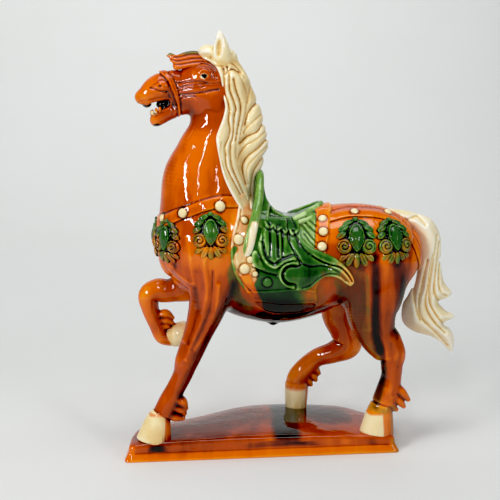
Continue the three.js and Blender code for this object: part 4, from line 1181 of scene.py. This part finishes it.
print("body")
glaze = horseGlaze()
bodyGlaze = {
    # Runs down the haunch, from under the ornaments, and the run before the saddle cloth
    "green": [([(86, 202), (89, 174), (93, 148), (99, 124), (108, 108)], 8.0, 9.0, 0.46),
              ([(101, 186), (102, 165), (103, 147.5), (105, 128)], 0.6, 3.0, 0.5),
              ([(104, 112), (114, 102), (120.5, 90), (121, 74), (117, 58), (114, 46)], 2.0, 4.0, 0.5),
              ([(-27, 200), (-31, 188), (-29, 172), (-24, 160), (-14, 150)], 3.0, 6.0, 0.6),
              ([(50, 172), (54, 162), (56, 152)], 5.0, 9.0, 0.4),
              ([(72, 176), (76, 168), (80, 150), (88, 128)], 2.0, 5.0, 0.5)],
    "dark": [([(0, 140), (14, 136), (34, 138), (48, 141)], 4.0, 7.0, 0.85),
             ([(13.5, 137), (13.8, 124)], 3.0, 2.0, 1.0)],
    "shade": [([(90, 202), (92, 168), (96, 147), (103, 122), (110, 108)], 6.0, 8.0, 0.12),
              ([(101, 186), (102, 165), (103, 147.5), (105, 128)], 0.5, 2.6, -0.14),
              ([(109, 200), (110, 168.4), (110.5, 147.3), (112, 124), (116, 106)], 1.2, 6.0, 0.42),
              ([(116, 108), (121, 94), (121.5, 76), (117, 58), (114, 46)], 0.8, 3.6, 0.3),
              ([(131, 200), (134, 176), (137, 158), (137, 140), (135, 124)], 2.0, 9.0, 0.3),
              ([(141, 205), (143, 185), (142, 165)], 3.0, 6.0, 0.16),
              ([(82, 205), (96, 194), (108, 205)], 3.0, 6.0, 0.2),
              ([(122, 205), (130, 196), (138, 205)], 3.0, 6.0, 0.2),
              ([(119, 192), (120, 168), (121.5, 143), (123, 122), (126, 104)], 4.0, 4.0, 0.06),
              # Painted shade down the back of the near foreleg, along its rear groove
              ([(-29.6, 175.8), (-40, 150), (-52, 126), (-66, 98), (-80, 66)], 2.0, 7.0, 0.2),
              ([(70, 226), (110, 230), (146, 222)], 6.0, 10.0, -0.12),
              ([(-62, 205), (-50, 200), (-40, 215), (-36, 236)], 10.0, 14.0, -0.08),
              ([(-28, 205), (-30, 225), (-26, 245)], 2.0, 6.0, -0.12),
              ([(-30, 140), (0, 132), (30, 133), (60, 142)], 5.0, 8.0, 0.22)],
    # Amber on the heels and coronets, olive on the near hind hoof
    "hoofAmber": [([(-93, 44), (-93.5, 30), (-95, 14)], 3.0, 3.0, 1.0),
                  ([(132, 44), (133, 30), (134, 14)], 5.0, 4.0, 0.85), ([(110, 44), (136, 46)], 4.0, 5.0, 0.9),
                  ([(32, 50), (60, 50)], 4.0, 6.0, 0.8), ([(124, 38), (126, 15)], 2.0, 3.0, 0.75),
                  ([(58, 50), (58, 36), (57, 24)], 2.0, 3.5, 0.7), ([(-112, 45), (-94, 46)], 0.5, 3.0, 0.6),
                  ([(-76, 118), (-70, 100)], 2.0, 3.0, 0.4)],
    "hoofOlive": [([(110, 45), (124, 42), (132, 44), (133, 26), (134, 14)], 2.0, 4.0, 0.45)],
    "teeth": [(-107.5, 341.8), (-106.5, 337.5), (-102, 338), (-101.5, 341.5)], "teethHalf": 9,
    "teethLow": 338, "teethCream": 0.8,
    # Chin spot and pupil: where they lie (the pupil from the eye's middle) and their edges
    "chin": (-100.5, 326.6), "chinLong": 1.7, "chinEdge": (2.4, 4.0), "pupil": (0.3, 0.9), "pupilEdge": (2.5, 2.9),
    "eyeWhite": 5.2, "eyeSoft": 0.4, "mouthEdge": (0.6, 1.8), "mouthSides": (5, 7), "mouthLow": 325,
    # Where the other marks fade
    "nearSide": (0, 8), "back": (150, 165), "hoofEdge": (-0.2, 0.8), "soleEdge": (0.4, 2.6), "legs": (150, 185),
    "farLegLight": (150, 175), "head": (318, 336), "muzzle": (-118, -84),
    # How much darker than the plain glaze each part is; the far legs are painted lighter, painted light where they
    # stand in shade
    "shades": {"all": 0.05, "legs": 0.1, "farLegLight": -0.14, "head": 0.16, "soles": 0.3, "hooves": -0.06,
               "eyeWhites": -0.6},
    # How much the borders wander, from each height up
    "stirs": ((-np.inf, 0.15), (60, 0.55), (320, 0.0)),
}


def bodyMarks(spots):
    # Where each colour lies on the body; the runs are on the near side and over the back
    x, y, z = spots.T
    form, much = bodyGlaze, bodyGlaze["shades"]
    onNear = np.maximum(ease(-y, *form["nearSide"]), ease(z, *form["back"]))
    onHoof = overPoints(lambda p: ease(furSkin(p, legsSkin(p, farOff(p))) - hoofSkin(p), *form["hoofEdge"]), spots)
    # Painted shade: the inside of the open mouth, back from the lips, is painted near black, all but the teeth
    mouth = 1 - ease(overPoints(mouthGap, spots), *form["mouthEdge"])
    mouth = mouth * (1 - ease(np.abs(y), *form["mouthSides"])) * (z > form["mouthLow"])
    eyes = [np.float32(onSide(headForms["eye"], side)) for side in (-1, 1)]
    eyeBall = np.minimum(*(np.sqrt(((spots - eye) ** 2).sum(1)) for eye in eyes))
    eyeWhite = 1 - ease(eyeBall, form["eyeWhite"], form["eyeWhite"] + form["eyeSoft"])
    right, up = form["pupil"]
    pupil = 1 - ease(np.hypot(x - eyes[1][0] - right, z - eyes[1][2] - up), *form["pupilEdge"])
    pupil = pupil * (eyeBall <= form["eyeWhite"] + form["eyeSoft"] / 2)
    chin = np.hypot((x - form["chin"][0]) / form["chinLong"], z - form["chin"][1])
    teeth = inside(spots, form["teeth"], 0.6) * (np.abs(y) < form["teethHalf"]) * (z > form["teethLow"])
    sole = 1 - ease(overPoints(plinthSkin, spots), *form["soleEdge"])
    # Legs darker below a height; the far legs lighter below theirs, painted light where they stand in shade
    low = (1 - ease(z, *form["legs"])) * much["legs"]
    low = low + (1 - ease(z, *form["farLegLight"])) * ease(y, *form["nearSide"]) * much["farLegLight"]
    shade = runs(spots, form["shade"], add=True) * onNear + low * (1 - onHoof) + beadRings(spots, beadRows)
    shade += much["head"] * ease(z, *form["head"]) * ease(x, *form["muzzle"]) + much["soles"] * sole
    shade += much["hooves"] * onHoof + much["eyeWhites"] * eyeWhite + much["all"]
    hoofCream = np.clip(onHoof - runs(spots, form["hoofAmber"]), 0, 1)
    stirs = np.array(form["stirs"])
    return dict(cream=np.maximum(hoofCream, np.maximum(eyeWhite, teeth * form["teethCream"])),
                green=np.maximum(runs(spots, form["green"]), runs(spots, form["hoofOlive"])) * onNear,
                dark=np.maximum.reduce([mouth * (1 - teeth), runs(spots, form["dark"]) * onNear,
                                        1 - ease(chin, *form["chinEdge"]), pupil]),
                shade=shade, stir=stirs[np.searchsorted(stirs[:, 0], z, "right") - 1, 1])


beadRows = beadPlaces()
body = piece("body", lambda p: furSkin(p, bodySkin(p)), (-126, -62, 12), (160, 62, 402), 0.8, 190000)
spots = pointsOf(body)
dress(body, 2.0 - 0.7 * ease(spots[:, 2], 312, 324), 0.5, ridge=0.7, still=0.07, **bodyMarks(spots))

print("mane, forelock and tail")
hairGlaze = {
    # Shades of the mane and tail: all over; below a height, painted light that lightens the tail where it hangs in
    # shade; and along the crest up to the ears
    "all": -0.12, "low": -0.2, "paintedLightHeights": (230, 246), "crest": 0.12, "crestHeights": (320, 376),
    "ears": -0.2, "earHeights": (386, 396),
    "forelockGreen": 0.62, "forelockLean": 0.05, "forelockFront": -88, "forelockHeights": (393.5, 396.5),
    "forelockShade": 0.06,
}
mane = piece("mane", maneSkin, (-64, -46, 240), (16, 46, 420), 0.8, 150000)
tail = piece("tail", tailSkin, (124, -16, 86), (210, 16, 244), 0.8, 70000)
for hair in (mane, tail):
    z = pointsOf(hair)[:, 2]
    # Painted light: the hair below a height, mostly the tail, is painted lighter where it hangs in shade
    shade = hairGlaze["all"] + hairGlaze["low"] * (1 - ease(z, *hairGlaze["paintedLightHeights"]))
    shade += hairGlaze["crest"] * ease(z, *hairGlaze["crestHeights"])
    shade += hairGlaze["ears"] * ease(z, *hairGlaze["earHeights"])
    dress(hair, 2.8, 0.5, ridge=1.0, cream=1.0, shade=shade)
forelock = piece("forelock", forelockSkin, (-94, -14, 378), (-46, 14, 402), 0.7, 30000)
x, _, z = pointsOf(forelock).T
height = z - hairGlaze["forelockLean"] * (x - hairGlaze["forelockFront"])
dress(forelock, green=hairGlaze["forelockGreen"] * ease(height, *hairGlaze["forelockHeights"]),
      shade=hairGlaze["forelockShade"])

print("saddle")
clothGlaze = {
    "cream": [(-26, 250.5), (-20, 264), (-8, 262), (-8, 246.5), (-13.8, 231), (-16.7, 214.5), (-16.8, 203.7),
              (-9.9, 193.8), (-8, 181.9), (-13.8, 176), (-20.7, 180.1), (-27.5, 190.1), (-35, 205), (-36, 219.6),
              (-32, 237)],
    "band": [(56, 262), (54.8, 240), (53.5, 234), (51.8, 225), (50, 211), (48, 200), (66, 196), (72, 240), (72, 262)],
    "patch": [(55, 241), (46, 240.5), (36, 236), (37, 222), (44, 208), (50, 208), (53.5, 234)],
    "orange": [([(-18.3, 183.2), (-14.5, 173.3), (-8.6, 161.3), (-3.7, 149.3), (0, 141)], 3.4, 2.6, 1.0)],
    "olive": [([(-31, 196), (-28.5, 180), (-24, 165), (-15, 152), (-8, 146)], 4.0, 3.0, 1.0)],
    "leftEdge": [([(-29, 212), (-32.5, 206), (-33, 199), (-30.5, 192)], 1.6, 2.2, 0.8)],
    "rear": (24, 46), "rearLow": (176, 186), "hem": (150, 162), "hemFrom": (-4, 4), "skirt": (152, 180),
    # How much darker than the plain glaze each part is, and how much of the cream or green it takes
    "shades": {"all": 0.05, "hem": 0.35, "skirt": 0.3, "band": -0.17, "orange": -0.15, "cream": -0.16,
               "olive": -0.15, "patch": -0.3, "rear": -0.1},
    "oliveShare": 0.42, "rearShare": 0.6, "creamShare": 0.56, "patchShare": 0.25, "stirs": (1.5, 0.7),
}


def clothMarks(spots):
    # Green cloth with a cream front, an orange and an olive run, and an amber band behind the seat
    x, _, z = spots.T
    form = clothGlaze
    parts = {name: inside(spots, form[name], soft) for name, soft in (("cream", 1.5), ("band", 0.6), ("patch", 0.6))}
    parts.update({name: runs(spots, form[name]) for name in ("orange", "olive", "leftEdge")})
    parts["rear"] = ease(x, *form["rear"]) * (1 - ease(z, *form["rearLow"]))
    parts["hem"] = (1 - ease(z, *form["hem"])) * ease(x, *form["hemFrom"])
    parts["skirt"] = (1 - ease(z, *form["skirt"])) * (1 - parts["rear"])
    shade = beadRings(spots, beadRows) + sum(much * parts.get(name, 1) for name, much in form["shades"].items())
    green = 1 - parts["cream"] - parts["band"] - parts["orange"]
    green = green - form["oliveShare"] * parts["olive"] - form["rearShare"] * parts["rear"]
    cream = form["creamShare"] * parts["cream"] + form["patchShare"] * parts["patch"]
    return dict(green=np.clip(np.maximum(green, parts["leftEdge"]), 0, 1), shade=shade,
                cream=np.clip(cream - parts["orange"] - parts["leftEdge"], 0, 1),
                stir=np.where(parts["cream"] > 0.3, *form["stirs"]))


saddleGlaze = {
    # The flap's tip and the pommel's foot lose their green
    "flapGreen": 0.94, "flapShade": 0.11, "tip": (58, 92), "tipLean": 0.5, "tipHeight": 190, "tipGreen": -0.6,
    "tipShade": -0.26, "seatGreen": 0.95, "footGreen": -0.8, "footCream": 0.82,
    "foot": [([(-9.5, 234), (-11, 228), (-13.5, 215), (-16, 206)], 1.4, 4.2, 1.0)], "front": 2,
    # Lighter on the front panel and at the cantle's back
    "seatShade": 0.06, "panelShade": -0.14, "panel": (240, 252), "back": (30, 34), "backLean": 0.4,
    "backHeight": 236, "backBelow": 250, "stir": 1.7,
}
cloth = piece("saddleCloth", clothSkin, (-36, -62, 128), (74, 62, 254), 0.9, 130000)
dress(cloth, **clothMarks(pointsOf(cloth)))
flaps = piece("saddleFlaps", flapsSkin, (-16, -66, 166), (92, 66, 256), 0.8, 150000)
x, _, z = pointsOf(flaps).T
work = saddleGlaze
tip = ease(x + work["tipLean"] * (work["tipHeight"] - z), *work["tip"])
dress(flaps, 3.4, 1.3, ridge=1.1, green=work["flapGreen"] + work["tipGreen"] * tip,
      shade=work["flapShade"] + work["tipShade"] * tip, stir=work["stir"])
seat = piece("saddleSeat", seatSkin, (-22, -56, 198), (74, 56, 288), 0.9, 90000)
spots = pointsOf(seat)
x, _, z = spots.T
foot = runs(spots, work["foot"]) * (x < work["front"])
light = (1 - ease(z, *work["panel"])) * (x < work["front"])
light = light + ease(x - work["backLean"] * (z - work["backHeight"]), *work["back"]) * (z < work["backBelow"])
dress(seat, 3.2, 0.8, ridge=0.9, green=work["seatGreen"] + work["footGreen"] * foot,
      cream=work["footCream"] * foot, shade=work["seatShade"] + work["panelShade"] * light, stir=work["stir"])

print("ornaments")


def sidePlaces(rows):
    # The same ornament on both sides: where it touches the trunk, how the trunk faces there, and its scale
    out = []
    for (x, z), scale in rows:
        for side in (-1, 1):
            out.append((*touchSide(trunkSkin, x, z, side), scale))
    return out


def chestPlaces():
    # Ornaments round the front of the chest, by how far they turn from straight ahead
    out = []
    for degrees, scale in chestTurns:
        way = np.array((-math.cos(math.radians(degrees)), math.sin(math.radians(degrees)), 0))
        steps = np.linspace(20, 90, 281)
        line = (np.array(chestCentre) + steps[:, None] * way).astype(np.float32)
        point = line[np.argmax(trunkSkin(line) > 0)]
        out.append((point, facing(trunkSkin, point[None])[0], scale))
    return out


for name, places, greener in (("rumpOrnaments", sidePlaces(ornamentPlaces["rump"]), 0.2),
                              ("chestOrnaments", sidePlaces(ornamentPlaces["chest"]) + chestPlaces(), 0.12)):
    ornaments = ornamentPiece(name, places)
    dress(ornaments, 3.0, 0.8, 0.6, stir=1.5, **ornamentTones(pointsOf(ornaments), places, greener))

print("beads")
beads = beadPiece(beadRows)
spots = pointsOf(beads)
nearest = np.argmin(((spots[:, None] - beadRows[None, :, :3]) ** 2).sum(2), axis=1)
rise = ((spots - beadRows[nearest, :3]) * beadRows[nearest, 3:6]).sum(1) / beadRows[nearest, 6] / beadWork["flatness"]
greenBead = 1.0 * (np.abs(beadRows[nearest, 0] - beadWork["greenAt"]) < beadWork["greenNear"])
footShade = beadWork["footShade"] * (1 - ease(rise, *beadWork["footShare"]))
dress(beads, 0, 0, cream=1.0 - greenBead, green=greenBead, stir=0.0,
      shade=beadWork["shade"] + footShade + beadWork["greenShade"] * greenBead)

print("plinth")
plinthGlaze = {
    "front": [([(25, 30), (25, 0)], 8.0, 7.0, 0.55), ([(-106, 9), (-103, 0)], 5.0, 6.0, 0.45),
              ([(102, 24), (108, 0)], 3.0, 14.0, 0.16), ([(-45, 0), (-5, 0)], 0.6, 2.4, 0.3),
              ([(40, 0), (90, 0)], 0.4, 2.4, 0.25)],
    "olive": [([(136, 24), (139, 0)], 6.0, 9.0, 0.42)],
    # On the top, seen from above
    "top": [([(30, 44), (30, 12), (25, -20), (24, -50)], 9.0, 12.0, 0.75)],
    "topShade": [([(62, 30), (76, 4)], 14.0, 16.0, 0.16)],
}


def plinthMarks(spots):
    fromAbove = spots[:, [0, 2, 1]]
    onTop = ease(spots[:, 1], -47.5, -45) * ease(spots[:, 2], 13, 16)
    wallShade = 0.07 + runs(spots, plinthGlaze["front"], add=True)
    topShade = 0.2 + runs(fromAbove, plinthGlaze["topShade"], add=True)
    return dict(dark=onTop * runs(fromAbove, plinthGlaze["top"]),
                green=(1 - onTop) * runs(spots, plinthGlaze["olive"]),
                shade=wallShade * (1 - onTop) + onTop * topShade)


plinth = piece("plinth", plinthSkin, (-140, -52, 0), (140, 72, 25), 1.2, 40000)
dress(plinth, 0.8, 0.25, stir=0.5, **plinthMarks(pointsOf(plinth)))

print("studio")
studio = {
    "camera": (-0.1135, -0.9945, 0.364), "pitch": 9.2, "yaw": 6.0, "lens": 72,
    # Softboxes: place, what they face, width and height, power
    "softboxes": [((-1.3, -1.1, 0.9), (0, 0, 0.25), (0.1, 0.9), 13), ((-0.5, -1.7, 1.2), (0, 0, 0.2), (0.05, 0.5), 3),
                  ((1.2, -1.5, 1.1), (0, 0, 0.2), (0.1, 0.7), 4.5), ((0.1, -0.3, 1.9), (0, 0.1, 0.1), (1.3, 0.8), 13),
                  ((0, 1.2, 1.7), (0, 2.2, 0.5), (2.5, 0.6), 13)],
    "worldLight": 0.24, "worldTint": (0.90, 0.95, 1.0, 1), "paper": ((228, 229, 226), (232, 233, 231)),
    # Tone curve points between its two ends
    "contrast": [(0.014, 0.0), (0.06, 0.048), (0.2, 0.19), (0.75, 0.79)],
    "coveStart": 1.2, "coveRadius": 1.0, "coveTop": 2.4, "coveHalf": 5.0,
}
camera = standing("camera", bpy.data.cameras.new("camera"))
camera.data.lens, camera.data.sensor_width = studio["lens"], 36
camera.location = studio["camera"]
camera.rotation_euler = (math.radians(90 - studio["pitch"]), 0, math.radians(-studio["yaw"]))
bpy.context.scene.camera = camera
for place, target, (width, height), power in studio["softboxes"]:
    lamp = bpy.data.lights.new("softbox", "AREA")
    lamp.shape, lamp.size, lamp.size_y, lamp.energy = "RECTANGLE", width, height, power
    holder = standing("softbox", lamp)
    holder.location = place
    holder.rotation_euler = (Vector(target) - Vector(place)).to_track_quat("-Z", "Z").to_euler()
world = bpy.data.worlds.new("studio")
world.use_nodes = True
sky = world.node_tree.nodes["Background"].inputs
sky["Color"].default_value, sky["Strength"].default_value = studio["worldTint"], studio["worldLight"]
bpy.context.scene.world = world

# Paper sweep: flat under the horse, curving up behind it
sweep = [(-studio["coveHalf"], 0.0), (studio["coveStart"], 0.0)]
for degrees in range(5, 95, 5):
    turn = math.radians(degrees)
    sweep.append((studio["coveStart"] + studio["coveRadius"] * math.sin(turn),
                  studio["coveRadius"] * (1 - math.cos(turn))))
sweep.append((sweep[-1][0], studio["coveTop"]))
floorMesh = bpy.data.meshes.new("floor")
floorMesh.from_pydata([(side * studio["coveHalf"], y, z) for y, z in sweep for side in (-1, 1)], [],
                      [(2 * i, 2 * i + 1, 2 * i + 3, 2 * i + 2) for i in range(len(sweep) - 1)])
floorMesh.shade_smooth()
floor = standing("floor", floorMesh)
paper = Finish("palePaper", roughness=0.7, coat=0.0)
stops = [(place, tone(*levels)) for place, levels in enumerate(studio["paper"])]
floorMesh.materials.append(paper.done(paper.ramp(paper.noise(0.3), stops)))
view = bpy.context.scene.view_settings
view.view_transform = "Standard"
view.use_curve_mapping = True
curve = view.curve_mapping.curves[3]
for place in studio["contrast"]:
    curve.points.new(*place)
view.curve_mapping.update()
